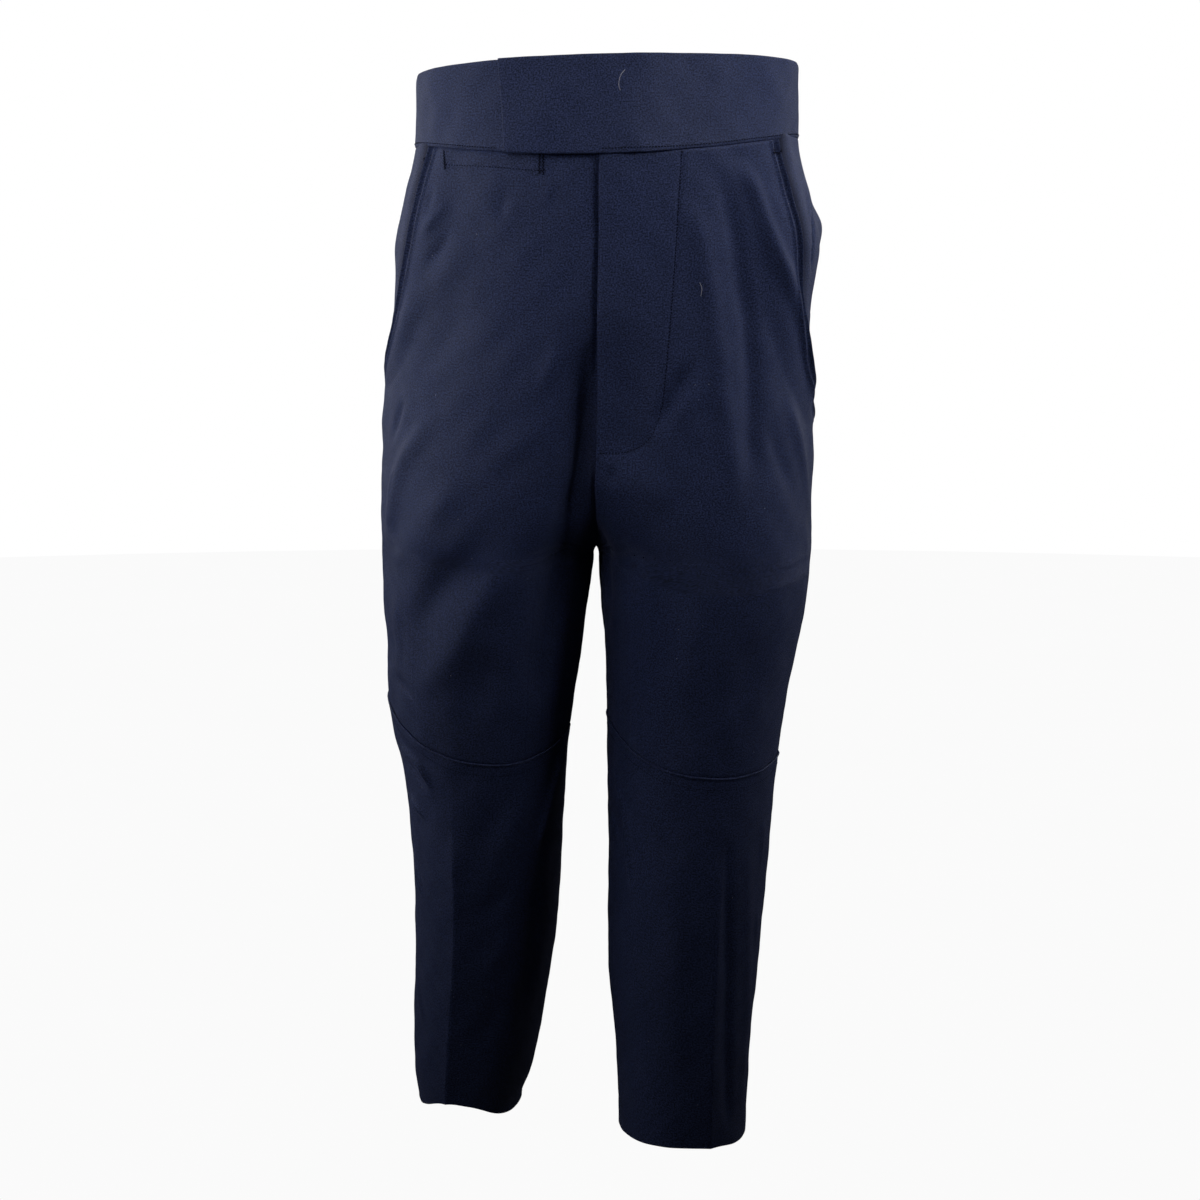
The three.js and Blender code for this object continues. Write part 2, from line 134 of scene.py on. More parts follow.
NORMAL_STEP = (0.01, 1)  # the angle and height over which the form's slope is measured
GIRTH = {"top": 45, "bottom": -836, "step": 5, "sides": 720}  # of the table of girths

# Each leg's section is a rounded oval. Above the crotch the two ovals cut each other at the
# centre line. Cut is where that line lies on both, from 0 at their middle to 1 at their side.
SQUARENESS = 2.3
TORSO_COLUMNS = ("z", "line", "cut", "left", "right", "front", "middle", "back")
TORSO = [
    (40, -7, 0, 147, 149, -106, 0, 100),
    (-28, -7, 0, 148, 151, -110, 0, 104),
    (-62, -8, 0.01, 157, 159, -112, 1, 110),
    (-100, -8, 0.04, 165, 166, -112, 2, 118),
    (-150, -9, 0.1, 159, 169, -111, 4, 127),
    (-205, -9, 0.2, 157, 174, -109, 6, 131),
    (-262, -10, 0.4, 160, 179, -105, 8, 127),
    (-303, -10, 0.67, 161, 181, -102, 8, 118),
    (-338, -10, 1, 161, 180, -98, 8, 107),
]
LEG_COLUMNS = ("z", "outer", "inner", "front", "middle", "back")
LEFT_LEG = [
    (-350, 160, -8, -96.7, 7, 104),
    (-383, 157, -6, -93, 6, 97),
    (-415, 151, -3, -89, 5, 92),
    (-448, 144, -2, -85, 4, 87),
    (-514, 135, -1, -77, 4, 80),
    (-580, 130, 0, -70, 7, 79),
    (-680, 122, 0, -61, 11, 76),
    (-748, 116, 6, -57, 12, 71),
    (-826, 113, 9, -53, 12, 66),
]
RIGHT_LEG = [
    (-350, 180, 12, -96, 9, 105),
    (-383, 180, 17, -90, 10, 101),
    (-415, 177, 21, -83, 11, 98),
    (-448, 178, 26, -75, 14, 97),
    (-482, 175, 31, -66, 18, 98),
    (-514, 168, 34, -58, 24, 100),
    (-580, 162, 38, -42, 37, 108),
    (-658, 161, 43, -21, 53, 118),
    (-732, 164, 54, -3, 68, 127),
    (-785, 165, 64, 9, 77, 133),
    (-812, 162, 74, 15, 82, 136),
]
CROTCH = TORSO[-1][0]


# ---------------------------------------------------------------- small functions
def lerp(a, b, share):
    """A value a share of the way from a to b."""
    return a + (b - a) * share


def ease(value, start, end):
    """Rises smoothly from 0 at start to 1 at end."""
    share = np.clip((value - start) / (end - start), 0, 1)
    return share * share * (3 - 2 * share)


def power(value):
    """Squares a circle's sine or cosine into the rounded oval's."""
    return np.sign(value) * np.abs(value) ** (2 / SQUARENESS)


def unpower(value):
    return np.sign(value) * np.abs(value) ** (SQUARENESS / 2)


def unit(vectors):
    return vectors / np.linalg.norm(vectors, axis=-1, keepdims=True)


def columns_of(names, rows):
    """A table's columns by name."""
    return {name: np.array(values, float) for name, values in zip(names, zip(*rows))}


def smooth(heights, values, z):
    """A smooth curve through a table's column, whose heights fall from row to row."""
    last = len(heights) - 1
    low = np.clip(np.searchsorted(-heights, -z) - 1, 0, last - 1)
    rows = np.arange(last + 1)
    before, after = np.maximum(rows - 1, 0), np.minimum(rows + 1, last)
    slope = (values[after] - values[before]) / (heights[after] - heights[before])
    span = heights[low + 1] - heights[low]
    share = np.clip((z - heights[low]) / span, 0, 1)
    square, cube = share**2, share**3
    return (
        (2 * cube - 3 * square + 1) * values[low]
        + (cube - 2 * square + share) * span * slope[low]
        + (3 * square - 2 * cube) * values[low + 1]
        + (cube - square) * span * slope[low + 1]
    )


def curve_through(points, steps=12):
    """Points on a smooth curve through the given ones."""
    points = np.array(points, float)
    padded = np.vstack([2 * points[0] - points[1], points, 2 * points[-1] - points[-2]])
    share = np.linspace(0, 1, steps, endpoint=False)[:, None]
    parts = []
    for a, b, c, d in zip(padded, padded[1:], padded[2:], padded[3:]):
        parts.append(
            0.5
            * (
                2 * b
                + (c - a) * share
                + (2 * a - 5 * b + 4 * c - d) * share**2
                + (3 * b - a - 3 * c + d) * share**3
            )
        )
    return np.vstack([*parts, points[-1:]])


# ---------------------------------------------------------------- form
class Leg:
    """One leg's form from the waist to the hem. Angle 0 is at the side seam, and it grows
    towards the front and is negative towards the back. Sizes are in millimetres."""

    def __init__(self, name, sign, rows, knee, hem, mouth):
        self.name, self.sign = name, sign
        self.knee, self.hem, self.mouth = knee, hem, mouth
        torso, leg = columns_of(TORSO_COLUMNS, TORSO), columns_of(LEG_COLUMNS, rows)
        reach = torso[name] - sign * torso["line"] - SEAM_GAP / 2
        half = np.concatenate(
            [reach / (1 + torso["cut"]), (leg["outer"] - leg["inner"]) / 2]
        )
        outer = np.concatenate([torso[name], leg["outer"]])
        self.heights = np.concatenate([torso["z"], leg["z"]])
        self.columns = {
            key: np.concatenate([torso[key], leg[key]]) for key in ("front", "middle", "back")
        }
        self.columns |= {"half": half, "centre": outer - half}
        self.measure_girth()

    def at(self, column, z):
        return smooth(self.heights, self.columns[column], z)

    def point(self, z, angle):
        deep = np.sin(angle)
        middle = self.at("middle", z)
        reach = np.where(deep >= 0, self.at("front", z) - middle, middle - self.at("back", z))
        x = self.sign * (self.at("centre", z) + self.at("half", z) * power(np.cos(angle)))
        return np.stack([x, middle + reach * power(deep), z + 0 * x], axis=-1)

    def normal(self, z, angle):
        turn, rise = NORMAL_STEP
        around = self.point(z, angle + turn) - self.point(z, angle - turn)
        along = self.point(z + rise, angle) - self.point(z - rise, angle)
        return -self.sign * unit(np.cross(around, along))

    def angle_at(self, z, x):
        share = (self.sign * x - self.at("centre", z)) / self.at("half", z)
        return np.arccos(unpower(np.clip(share, -1, 1)))

    def gap_angle(self, z, face):
        reach = np.abs(self.at(face, z) - self.at("middle", z))
        return np.arcsin(unpower(SEAM_GAP / 2 / reach))

    def measure_girth(self):
        """A table of the distance round the form from the side seam."""
        self.girth_z = np.arange(GIRTH["top"], GIRTH["bottom"], -float(GIRTH["step"]))
        self.girth_angle = np.linspace(-math.pi, math.pi, GIRTH["sides"] + 1)
        points = self.point(self.girth_z[:, None], self.girth_angle[None, :])
        steps = np.linalg.norm(np.diff(points[..., :2], axis=1), axis=-1)
        total = np.concatenate([np.zeros((len(self.girth_z), 1)), steps.cumsum(axis=1)], axis=1)
        self.girth = total - total[:, [GIRTH["sides"] // 2]]

    def round_from_side(self, z, angle):
        """How far round from the side seam, in millimetres, negative on the back."""
        turn = (angle + math.pi) / (2 * math.pi)
        row = np.clip((GIRTH["top"] - z) / GIRTH["step"], 0, len(self.girth_z) - 1.001)
        column = np.clip(turn * GIRTH["sides"], 0, GIRTH["sides"] - 0.001)
        i, j = row.astype(int), column.astype(int)
        down, across = row - i, column - j
        upper = lerp(self.girth[i, j], self.girth[i, j + 1], across)
        lower = lerp(self.girth[i + 1, j], self.girth[i + 1, j + 1], across)
        return lerp(upper, lower, down)

    def angle_round(self, z, distance):
        """The angle that is a distance round from the side seam at each height."""
        rows = np.clip((GIRTH["top"] - z) / GIRTH["step"], 0, len(self.girth_z) - 1)
        rows = self.girth[rows.round().astype(int)]
        return np.array([np.interp(d, row, self.girth_angle) for d, row in zip(distance, rows)])


LEFT = Leg(
    "left",
    1,
    LEFT_LEG,
    knee={"inner": -468, "outer": -503, "dip": 25},
    hem={"crest": -816, "outer": -820, "inner": -816},
    mouth={"degrees": 34, "end": -240},
)
RIGHT = Leg(
    "right",
    -1,
    RIGHT_LEG,
    knee={"inner": -484, "outer": -455, "dip": 34},
    hem={"crest": -803, "outer": -815, "inner": -818},
    mouth={"degrees": 31, "end": -210},
)
LEGS = (RIGHT, LEFT)


def centre_x(z):
    """Where the centre line is across the front and back at a height."""
    torso = columns_of(TORSO_COLUMNS, TORSO)
    return smooth(torso["z"], torso["line"], z)


def inner_angle(leg, z, face, past=-SEAM_GAP / 2):
    """Where a panel ends on the inside: at the centre line, or below it at the inseam."""
    inseam = math.pi - leg.gap_angle(z, face)
    line = leg.angle_at(z, centre_x(z) - leg.sign * past)
    return np.where(z > CROTCH, np.minimum(inseam, line), inseam)


# ---------------------------------------------------------------- seam lines
def waist_seam(leg, angle):
    x = leg.point(WAIST_SEAM + 0 * angle, angle)[..., 0]
    return WAIST_SEAM - WAIST_DIP * np.maximum(0, np.sin(angle)) ** 2 + SEAM_ROLL * x


def band_top(leg, angle):
    corner = BAND_CORNER["drop"] * (1 - ease(np.abs(angle), 0, math.radians(BAND_CORNER["fade"])))
    return BAND_TOP - corner + TOP_ROLL * leg.point(BAND_TOP + 0 * angle, angle)[..., 0]


def hem_line(leg, angle):
    crest, side = leg.hem["crest"], np.cos(angle)
    return (
        crest
        + (leg.hem["outer"] - crest) * ease(side, HEM_CREST, 1)
        + (leg.hem["inner"] - crest) * ease(-side, -HEM_CREST, HEM_INNER)
    )


def knee_seam(leg, share):
    """The height of the knee seam, for a share from 0 at the inseam to 1 at the side."""
    dip = leg.knee["dip"] * np.sin(math.pi * np.clip(share, 0, 1)) ** KNEE_ROUND
    return lerp(leg.knee["inner"], leg.knee["outer"], share) - dip


def down_mouth(leg, z):
    return np.clip((WAIST_SEAM - z) / (WAIST_SEAM - leg.mouth["end"]), 0, 1)


def mouth_angle(leg, z):
    bend = (1 - down_mouth(leg, z) ** MOUTH_BEND) ** MOUTH_CLOSE
    return math.radians(leg.mouth["degrees"]) * bend


def past_mouth(leg, z, angle):
    """How far round the form a place is from the mouth's edge, towards the front."""
    return leg.round_from_side(z, angle) - leg.round_from_side(z, mouth_angle(leg, z))


# ---------------------------------------------------------------- how far cloth stands off
def mouth_lift(leg, z, angle):
    """How far the front stands off beside the pocket mouth."""
    away = np.degrees(angle - mouth_angle(leg, z))
    height = FLY_LIFT + MOUTH_GAPE * np.sin(math.pi * down_mouth(leg, z))
    low = ease(leg.mouth["end"] - z, MOUTH_FLAT[1], MOUTH_FLAT[0])
    return height * low * (1 - ease(away, *MOUTH_FADE))


def mouth_roll(leg, z, angle):
    """The mouth's rolled edge, the groove of its stitches and the ridge beside them."""
    away = past_mouth(leg, z, angle)
    roll = sum(height * np.exp(-(((away - at) / width) ** 2)) for at, height, width in MOUTH_ROLL)
    return roll * ease(z - leg.mouth["end"], *ROLL_FOOT)


def fly_lift(leg, z, angle):
    """The left front rides over the right one, which goes in along the fly's edge."""
    across = leg.point(z, angle)[..., 0] - centre_x(z)
    if leg is RIGHT:
        crevice = np.exp(-((across / CREVICE["width"]) ** 2)) * (across > CREVICE["reach"])
        return -CREVICE["depth"] * crevice * ease(z, *CREVICE["foot"]) * ease(z, *CREVICE["top"])
    return FLY_LIFT * (1 - ease(across, *FLY_FADE)) * ease(z, *FLY_FOOT)


def thigh_lift(leg, z, angle):
    mouth = mouth_lift(leg, z, angle)
    fly = fly_lift(leg, z, angle)
    return np.where(mouth > 0, np.maximum(fly, mouth), fly) + mouth_roll(leg, z, angle)


def crease_lift(z, share, height):
    """The pressed crease, a sharp ridge that starts below the knee."""
    away = np.abs(share - CREASE["share"]) / CREASE["width"]
    return height * np.exp(-away) * (1 - ease(z, CREASE["full"], CREASE["from"]))


def shin_lift(leg, z, angle):
    share = 1 - angle / math.pi
    below = knee_seam(leg, share) - z
    flat = KNEE_STEP["flat"]
    step = KNEE_STEP["height"] * (1 - ease(below, flat, flat + KNEE_STEP["fade"]))
    ends = ease(share, 0, KNEE_ROLL["fade"]) * ease(1 - share, 0, KNEE_ROLL["fade"])
    roll = KNEE_ROLL["height"] * np.exp(-((below / KNEE_ROLL["width"]) ** 2)) * ends
    return crease_lift(z, share, CREASE["height"]) + step + roll


def back_lift(leg, z, angle):
    return crease_lift(z, 1 + angle / math.pi, BACK_CREASE)


def facing_lift(leg, z, angle):
    """The facing lies inside the form, deepest where it goes in under the mouth's edge."""
    beyond = -past_mouth(leg, z, angle)
    groove = np.exp(-((np.maximum(0, beyond) / FACING["reach"]) ** 2))
    bulge = FACING["bulge"] * np.exp(-((beyond / FACING["belly"] - 1) ** 2) / FACING["round"])
    under = ease(angle, 0, math.radians(FACING["sunk"]))
    return (bulge - FACING["depth"] - FACING["groove"] * groove) * under


def facing_shade(leg, z, angle):
    """Painted shade on the facing where it goes in under the mouth's edge, from 0 to 1."""
    beyond = np.maximum(0, -past_mouth(leg, z, angle))
    opened = ease(z - leg.mouth["end"], *FACING["open"])
    return np.exp(-((beyond / FACING["shade"]) ** 4)) * opened


def thigh_shade(leg, z, angle):
    """Painted shade on the right front behind the fly's lower end, from 0 to 1."""
    if leg is LEFT:
        return 0 * z
    across = leg.point(z, angle)[..., 0] - centre_x(z) + FLY_SHADE["slope"] * (z - CROTCH)
    down = ease(z, FLY_SHADE["from"], FLY_SHADE["full"]) * ease(
        z, FLY_SHADE["out"], FLY_SHADE["low"]
    )
    return FLY_SHADE["share"] * np.exp(-((across / FLY_SHADE["width"]) ** 2)) * down


def band_lift(leg, z, angle):
    """The left half stands off where its tab lies over the right half."""
    if leg is RIGHT:
        return 0 * angle
    across = leg.point(z, angle)[..., 0]
    return TAB_LIFT * (1 - ease(across, *TAB_FADE)) * (angle > 0)


# ---------------------------------------------------------------- folds
class Fold:
    """A soft ridge, or a trough if its height is negative, along points of x and z on a leg's
    front or back. Lean widens its outer side, and fade is the share of it that tapers."""

    def __init__(self, face, height, width, points, lean=1.0, fade=0.4):
        self.face, self.height, self.width = face, height, width
        self.points, self.lean, self.fade = points, lean, fade

    def route(self, leg):
        x, z = np.array(self.points, float).T
        angle = leg.angle_at(z, x) * (1 if self.face == "front" else -1)
        return curve_through(np.stack([leg.round_from_side(z, angle), z], axis=-1), 8)

    def push(self, leg, across, z):
        """How far this fold pushes the cloth out at each place."""
        line = self.route(leg)
        starts, spans = line[:-1], np.diff(line, axis=0)
        lengths = np.linalg.norm(spans, axis=1)
        done = np.concatenate([[0], lengths.cumsum()])[:-1]
        reach = 3 * self.width * max(1, self.lean)
        low, high = line.min(axis=0) - reach, line.max(axis=0) + reach
        near = (across > low[0]) & (across < high[0]) & (z > low[1]) & (z < high[1])
        out = np.zeros(across.shape)
        if not near.any():
            return out
        spot = np.stack([across[near], z[near]], axis=-1)
        offset = spot[:, None] - starts
        along = np.clip((offset * spans).sum(-1) / lengths**2, 0, 1)
        miss = offset - along[..., None] * spans
        distance = np.linalg.norm(miss, axis=-1)
        best = distance.argmin(axis=1)
        pick = (np.arange(len(best)), best)
        share = (done[best] + along[pick] * lengths[best]) / lengths.sum()
        taper = ease(share, 0, self.fade) * ease(1 - share, 0, self.fade)
        side = miss[pick][:, 0] < 0
        width = np.where(side, self.width * self.lean, self.width)
        out[near] = self.height * taper * np.exp(-((distance[pick] / width) ** 2))
        return out


def front(*sizes, **more):
    return Fold("front", *sizes, **more)


def back(*sizes, **more):
    return Fold("back", *sizes, **more)


# Each fold: its height, its width, and the points that it runs through.
FOLDS = {
    "left": [
        # the drape that falls from the pocket's top, and the hollow beside it
        front(3.6, 7, [
            (98, -40), (104, -58), (110, -76), (117, -94), (124, -113), (132, -131), (139, -153),
            (145, -176), (150, -198), (155, -232),
        ], fade=0.12),
        front(-3.4, 9, [
            (80, -44), (84, -58), (89, -81), (94, -110), (99, -139), (104, -170), (106, -204),
            (107, -240), (106, -298),
        ], fade=0.2),
        front(2.6, 9, [
            (62, -60), (65, -85), (69, -110), (74, -139), (78, -169), (82, -194), (88, -239),
            (92, -276), (98, -312),
        ], fade=0.2),
        front(2.6, 8, [(128, -205), (138, -226), (147, -260), (153, -291), (155, -318)]),
        front(-1.6, 8, [(117, -232), (128, -262), (141, -294)]),
        front(0.9, 7, [(148, -300), (153, -344), (148, -390)]),
        # the pocket bag pushes the side out
        front(2.8, 10, [(162, -66), (166, -86), (167, -106)], fade=0.5),
        front(-1.6, 8, [(168, -136), (168, -146), (168, -156)], fade=0.5),
        front(-4.5, 2.4, [(154, -62), (156, -74), (157, -90), (156, -110), (155, -128)], fade=0.3),
        front(1.6, 3, [(149, -50), (152, -62), (153, -80), (152, -96)], fade=0.5),
        front(2.8, 12, [(160, -160), (158, -205), (158, -248)], fade=0.3),
        # round the fly's lower end
        front(-3.4, 6, [(64, -186), (52, -208), (44, -224), (34, -248)], fade=0.4),
        front(1.4, 6, [(72, -204), (61, -222), (50, -240)], fade=0.5),
        front(1.6, 14, [(14, -284), (36, -290), (56, -296)], fade=0.5),
        front(-1.8, 5, [(-3, -266), (0, -276), (2, -290)], fade=0.5),
        front(-2.4, 7, [(-3, -300), (-1, -340), (1, -400)]),
        # knee and lower front
        front(-1.8, 13, [(118, -388), (108, -430), (98, -470)]),
        front(1.6, 13, [(66, -370), (58, -420), (48, -462)]),
        front(1.7, 2.0, [(3, -498), (7, -524), (12, -547), (16, -597), (20, -620)], fade=0.3),
        front(2.0, 2.0, [(2, -546), (5, -558), (8, -571)], fade=0.4),
        front(-2.8, 6, [(89, -545), (91, -620), (93, -700), (96, -812)], fade=0.15),
        front(1.4, 7, [(107, -560), (110, -640), (110, -720), (107, -804)], fade=0.2),
        front(1.2, 3, [(122, -545), (121, -570), (119, -602)]),
        front(1.0, 3, [(119, -622), (117, -642), (118, -662)]),
        front(1.2, 14, [(48, -560), (50, -640), (54, -760)]),
        # seat and back of the leg
        back(-3.4, 13, [(148, -150), (128, -210), (92, -268), (48, -318)]),
        back(2.4, 12, [(156, -190), (132, -246), (100, -292), (60, -334)]),
        back(-2.6, 8, [(132, -318), (100, -338), (62, -352), (26, -352)]),
        back(2.0, 9, [(140, -338), (104, -360), (66, -374), (30, -372)]),
        back(-1.6, 9, [(66, -58), (72, -104), (66, -150)]),
        back(-1.7, 7, [(24, -72), (20, -130), (16, -190)], lean=1.5),
        back(-2.6, 6, [(126, -458), (92, -470), (56, -472), (22, -462)]),
        back(1.8, 6, [(128, -474), (94, -486), (58, -488), (30, -480)]),
        back(-2.3, 6, [(118, -500), (84, -508), (50, -504), (18, -494)]),
        back(-1.6, 5, [(106, -528), (82, -534), (58, -530)]),
        back(-1.6, 8, [(30, -560), (36, -620), (32, -680)]),
        back(1.3, 8, [(98, -580), (92, -660), (90, -740)]),
    ],
    "right": [
        # the hollow beside the fly, which runs on down the inside of the leg
        front(-6.0, 13, [
            (-12, -150), (-20, -195), (-25, -235), (-28, -276), (-32, -320), (-38, -356),
        ], lean=1.1, fade=0.3),
        front(-6.0, 19, [
            (-30, -310), (-38, -356), (-45, -391), (-52, -425), (-58, -470),
        ], fade=0.3),
        front(1.6, 6, [(-34, -166), (-44, -196), (-52, -226)], fade=0.5),
        front(-5.5, 7, [(-9, -170), (-13, -210), (-17, -250), (-23, -300), (-31, -350)], fade=0.35),
        # across the thigh
        front(2.2, 15, [(-108, -262), (-122, -286), (-136, -309), (-147, -332), (-161, -360)]),
        front(-3.6, 13, [(-88, -312), (-103, -338), (-122, -358), (-140, -384), (-156, -422)]),
        front(4.0, 14, [
            (-58, -312), (-76, -348), (-98, -376), (-113, -405), (-132, -432), (-150, -448),
        ]),
        front(-1.8, 12, [(-78, -408), (-98, -438), (-114, -466)]),
        front(1.3, 11, [(-42, -238), (-66, -253), (-84, -273)], fade=0.5),
        # towards the side and the pocket
        front(1.8, 5, [(-117, -72), (-132, -90), (-141, -106)], fade=0.5),
        front(-1.3, 5, [(-114, -92), (-127, -110), (-139, -128)], fade=0.5),
        front(2.2, 13, [
            (-98, -90), (-111, -106), (-128, -129), (-142, -150), (-154, -174), (-160, -198),
        ]),
        front(-1.6, 12, [(-100, -132), (-118, -166), (-136, -204)]),
        front(2.8, 9, [(-130, -214), (-143, -247), (-158, -270), (-168, -307), (-173, -350)]),
        front(1.0, 2.2, [(-163, -268), (-166, -284), (-168, -301)]),
        front(-2.2, 6, [(-155, -216), (-163, -237), (-170, -258)]),
        front(1.3, 6, [(-164, -366), (-164, -405), (-166, -445)]),
        front(-1.5, 4.5, [(-170, -432), (-158, -446), (-146, -458)], fade=0.5),
        front(1.5, 12, [(-160, -70), (-168, -100), (-170, -130)], fade=0.5),
        front(-2.0, 10, [(-180, -290), (-181, -308), (-180, -328)], fade=0.5),
        # under the waistband
        front(-1.2, 4, [(-128, -52), (-131, -70), (-136, -90)], fade=0.5),
        front(-0.9, 5, [(-76, -58), (-79, -76), (-82, -98)], fade=0.5),
        front(-0.8, 4, [(-38, -58), (-40, -72), (-44, -86)], fade=0.5),
        # drag lines on the lower front's outer side
        front(3.4, 2.4, [
            (-168, -490), (-160, -498), (-150, -506), (-143, -520), (-139, -532),
        ], fade=0.35),
        front(-1.6, 4, [(-166, -504), (-152, -517), (-144, -536)], fade=0.5),
        front(2.4, 2.4, [(-160, -534), (-152, -545), (-144, -557)], fade=0.4),
        front(2.0, 2.4, [(-158, -596), (-155, -609), (-149, -626)], fade=0.4),
        front(1.2, 4, [(-160, -690), (-157, -714), (-152, -740)], fade=0.4),
        # the inseam's ridge on the lower front and the hollow behind it
        front(3.2, 2.6, [
            (-34, -486), (-38, -502), (-43, -521), (-49, -543), (-54, -564), (-58, -590),
        ], lean=1.6, fade=0.25),
        front(-2.0, 9, [(-50, -560), (-58, -620), (-64, -690), (-76, -765)]),
        # soft undulations beside the crease
        front(-1.6, 9, [(-78, -524), (-96, -559), (-113, -590)]),
        front(1.7, 9, [(-60, -526), (-74, -556), (-90, -588)]),
        front(-1.5, 8, [(-78, -604), (-94, -626), (-106, -640)]),
        front(1.4, 9, [(-74, -640), (-88, -664), (-98, -690)]),
        front(-1.5, 9, [(-84, -690), (-96, -728), (-110, -760)]),
        front(1.2, 9, [(-90, -748), (-96, -775), (-104, -800)]),
        # seat and back of the leg
        back(-3.2, 12, [(-154, -160), (-132, -222), (-96, -276), (-52, -322)]),
        back(2.3, 12, [(-164, -205), (-142, -258), (-108, -300), (-66, -338)]),
        back(-2.8, 8, [(-148, -326), (-112, -346), (-74, -356), (-40, -352)]),
        back(2.1, 9, [(-156, -350), (-116, -368), (-80, -376), (-46, -372)]),
        back(-1.5, 9, [(-84, -54), (-92, -100), (-86, -148)]),
        back(-1.6, 7, [(-40, -70), (-38, -126), (-32, -186)], lean=1.5),
        back(-3.0, 6.5, [(-160, -444), (-128, -458), (-92, -464), (-54, -458)]),
        back(2.1, 6, [(-164, -462), (-130, -475), (-94, -480), (-58, -474)]),
        back(-2.7, 6, [(-152, -488), (-116, -500), (-78, -500), (-48, -492)]),
        back(-1.8, 5, [(-138, -518), (-110, -526), (-84, -524)]),
        back(-1.8, 9, [(-62, -560), (-70, -630), (-76, -700)]),
        back(1.3, 8, [(-136, -570), (-132, -650), (-128, -730)]),
    ],
}
# Rows of stitches across the fronts, and the grooves that they pull into the cloth.
FLY_ROW = [
    (53, -38), (50, -90), (46, -150), (41.5, -205),
    (38, -230), (29, -250), (13, -259.5), (-8, -260.5),
]
WATCH_ROW = [(-121, -46.5), (-96, -48.5), (-66, -51.5), (-49, -53)]
FOLDS["left"].append(front(-0.6, 1.8, FLY_ROW, fade=0.02))
FOLDS["right"].append(front(-0.4, 1.5, WATCH_ROW, fade=0.05))
BAND_FOLDS = {
    "left": [
        front(0.9, 7, [(86, 34), (80, 8), (74, -22)], fade=0.3),
        front(0.6, 10, [(-34, 20), (-43, -4), (-53, -30)], fade=0.3),
        front(-0.6, 8, [(106, 20), (110, -2), (116, -24)], fade=0.4),
        front(-0.4, 6, [(20, 24), (24, 2), (30, -18)], fade=0.4),
        back(-0.8, 8, [(60, 30), (66, 4), (62, -20)], fade=0.3),
        back(0.6, 9, [(110, 28), (104, 4), (108, -20)], fade=0.3),
    ],
    "right": [
        front(-0.7, 8, [(-124, 24), (-118, 2), (-114, -24)], fade=0.4),
        front(0.6, 7, [(-136, 22), (-132, 0), (-128, -26)], fade=0.4),
        back(-0.8, 8, [(-70, 28), (-64, 2), (-70, -22)], fade=0.3),
        back(0.6, 9, [(-116, 28), (-108, 2), (-112, -22)], fade=0.3),
    ],
}

# The fly's lower end sinks in, and takes with it all that lies under it. It starts, is full,
# goes and is gone at these heights.
FLY_SINK = {"depth": 7, "x": 9, "width": 20, "from": -150, "full": -215, "low": -246, "out": -288}

# Faint waves that every piece has: height, wave lengths round and down, and phase.
WAVES = [(0.16, 61, 83, 0.4), (0.12, -43, 37, 2.1), (0.09, 27, -71, 4.0), (0.06, 19, 23, 5.2)]


def fly_sink(leg, z, angle):
    away = (leg.point(z, angle)[..., 0] - FLY_SINK["x"]) / FLY_SINK["width"]
    down = ease(z, FLY_SINK["from"], FLY_SINK["full"]) * ease(z, FLY_SINK["out"], FLY_SINK["low"])
    return -FLY_SINK["depth"] * np.exp(-(away**2)) * down * (angle > 0)


def fold_lift(leg, z, angle, folds):
    across = leg.round_from_side(z, angle)
    out = sum(
        height * np.sin(2 * math.pi * (across / wide + z / long) + phase + leg.sign)
        for height, wide, long, phase in WAVES
    )
    for fold in folds[leg.name]:
        out = out + fold.push(leg, across, z)
    return out + fly_sink(leg, z, angle)


def surface(leg, z, angle, lift, folds=FOLDS):
    """Points and outward directions of a piece's outer face, in millimetres."""
    z, angle = np.broadcast_arrays(np.asarray(z, float), np.asarray(angle, float))
    out = leg.normal(z, angle)
    depth = bpy.context.scene.trouser_sizes.fold_depth
    off = lift(leg, z, angle) + depth * fold_lift(leg, z, angle, folds)
    return leg.point(z, angle) + out * off[..., None], out


# ---------------------------------------------------------------- cloth pieces
RIM_STEPS = np.array([0, 0.7, 1.3, 2.0, 2.9])  # columns and rows that close up at an edge
RIM_ROUND = 0.3  # how far a rim is rounded, as a share of the wall
SEWN, FREE, KNEE_DIP = 1.0, 0.35, 0.8  # how far an edge dips, as a share of the seam's depth
BAND_DIPS = (SEWN, 0.2, 0.3, 0.5)  # at its centre back, front end, top and bottom
# Each kind of sheet: how many columns over what width, and how many rows over what length.
GRIDS = {
    "front": ((140, 190), (240, 440)),
    "lower front": ((101, 180), (150, 320)),
    "back": ((92, 220), (270, 790)),
    "facing": ((24, 60), (90, 215)),
    "band": ((200, 330), (32, 60)),
    "tape": ((18, 35), (60, 209)),
}


def spread(count, length):
    """Shares from 0 to 1 along a length, closer together at both ends."""
    near = RIM_STEPS / length
    middle = np.linspace(near[-1], 1 - near[-1], count)
    return np.concatenate([near[:-1], middle, 1 - near[-2::-1]])


def grid_of(kind):
    across, down = GRIDS[kind]
    return spread(*across), spread(*down)


def edge_dips(points, dips):
    """How far the cloth dips beside a seam. Dips holds a share for the edges at the first
    column, last column, first row and last row, each one number or one for each place."""
    across = np.linalg.norm(np.diff(points, axis=1), axis=-1).cumsum(axis=1)
    across = np.concatenate([0 * across[:, :1], across], axis=1)
    down = np.linalg.norm(np.diff(points, axis=0), axis=-1).cumsum(axis=0)
    down = np.concatenate([0 * down[:1], down], axis=0)
    sizes = bpy.context.scene.trouser_sizes
    depth, width = sizes.seam_depth / MM, sizes.seam_width / MM
    gaps = (across, across[:, -1:] - across, down, down[-1:] - down)
    dip = sum(share * np.exp(-((gap / width) ** 2)) for share, gap in zip(dips, gaps))
    return depth * dip, across, down


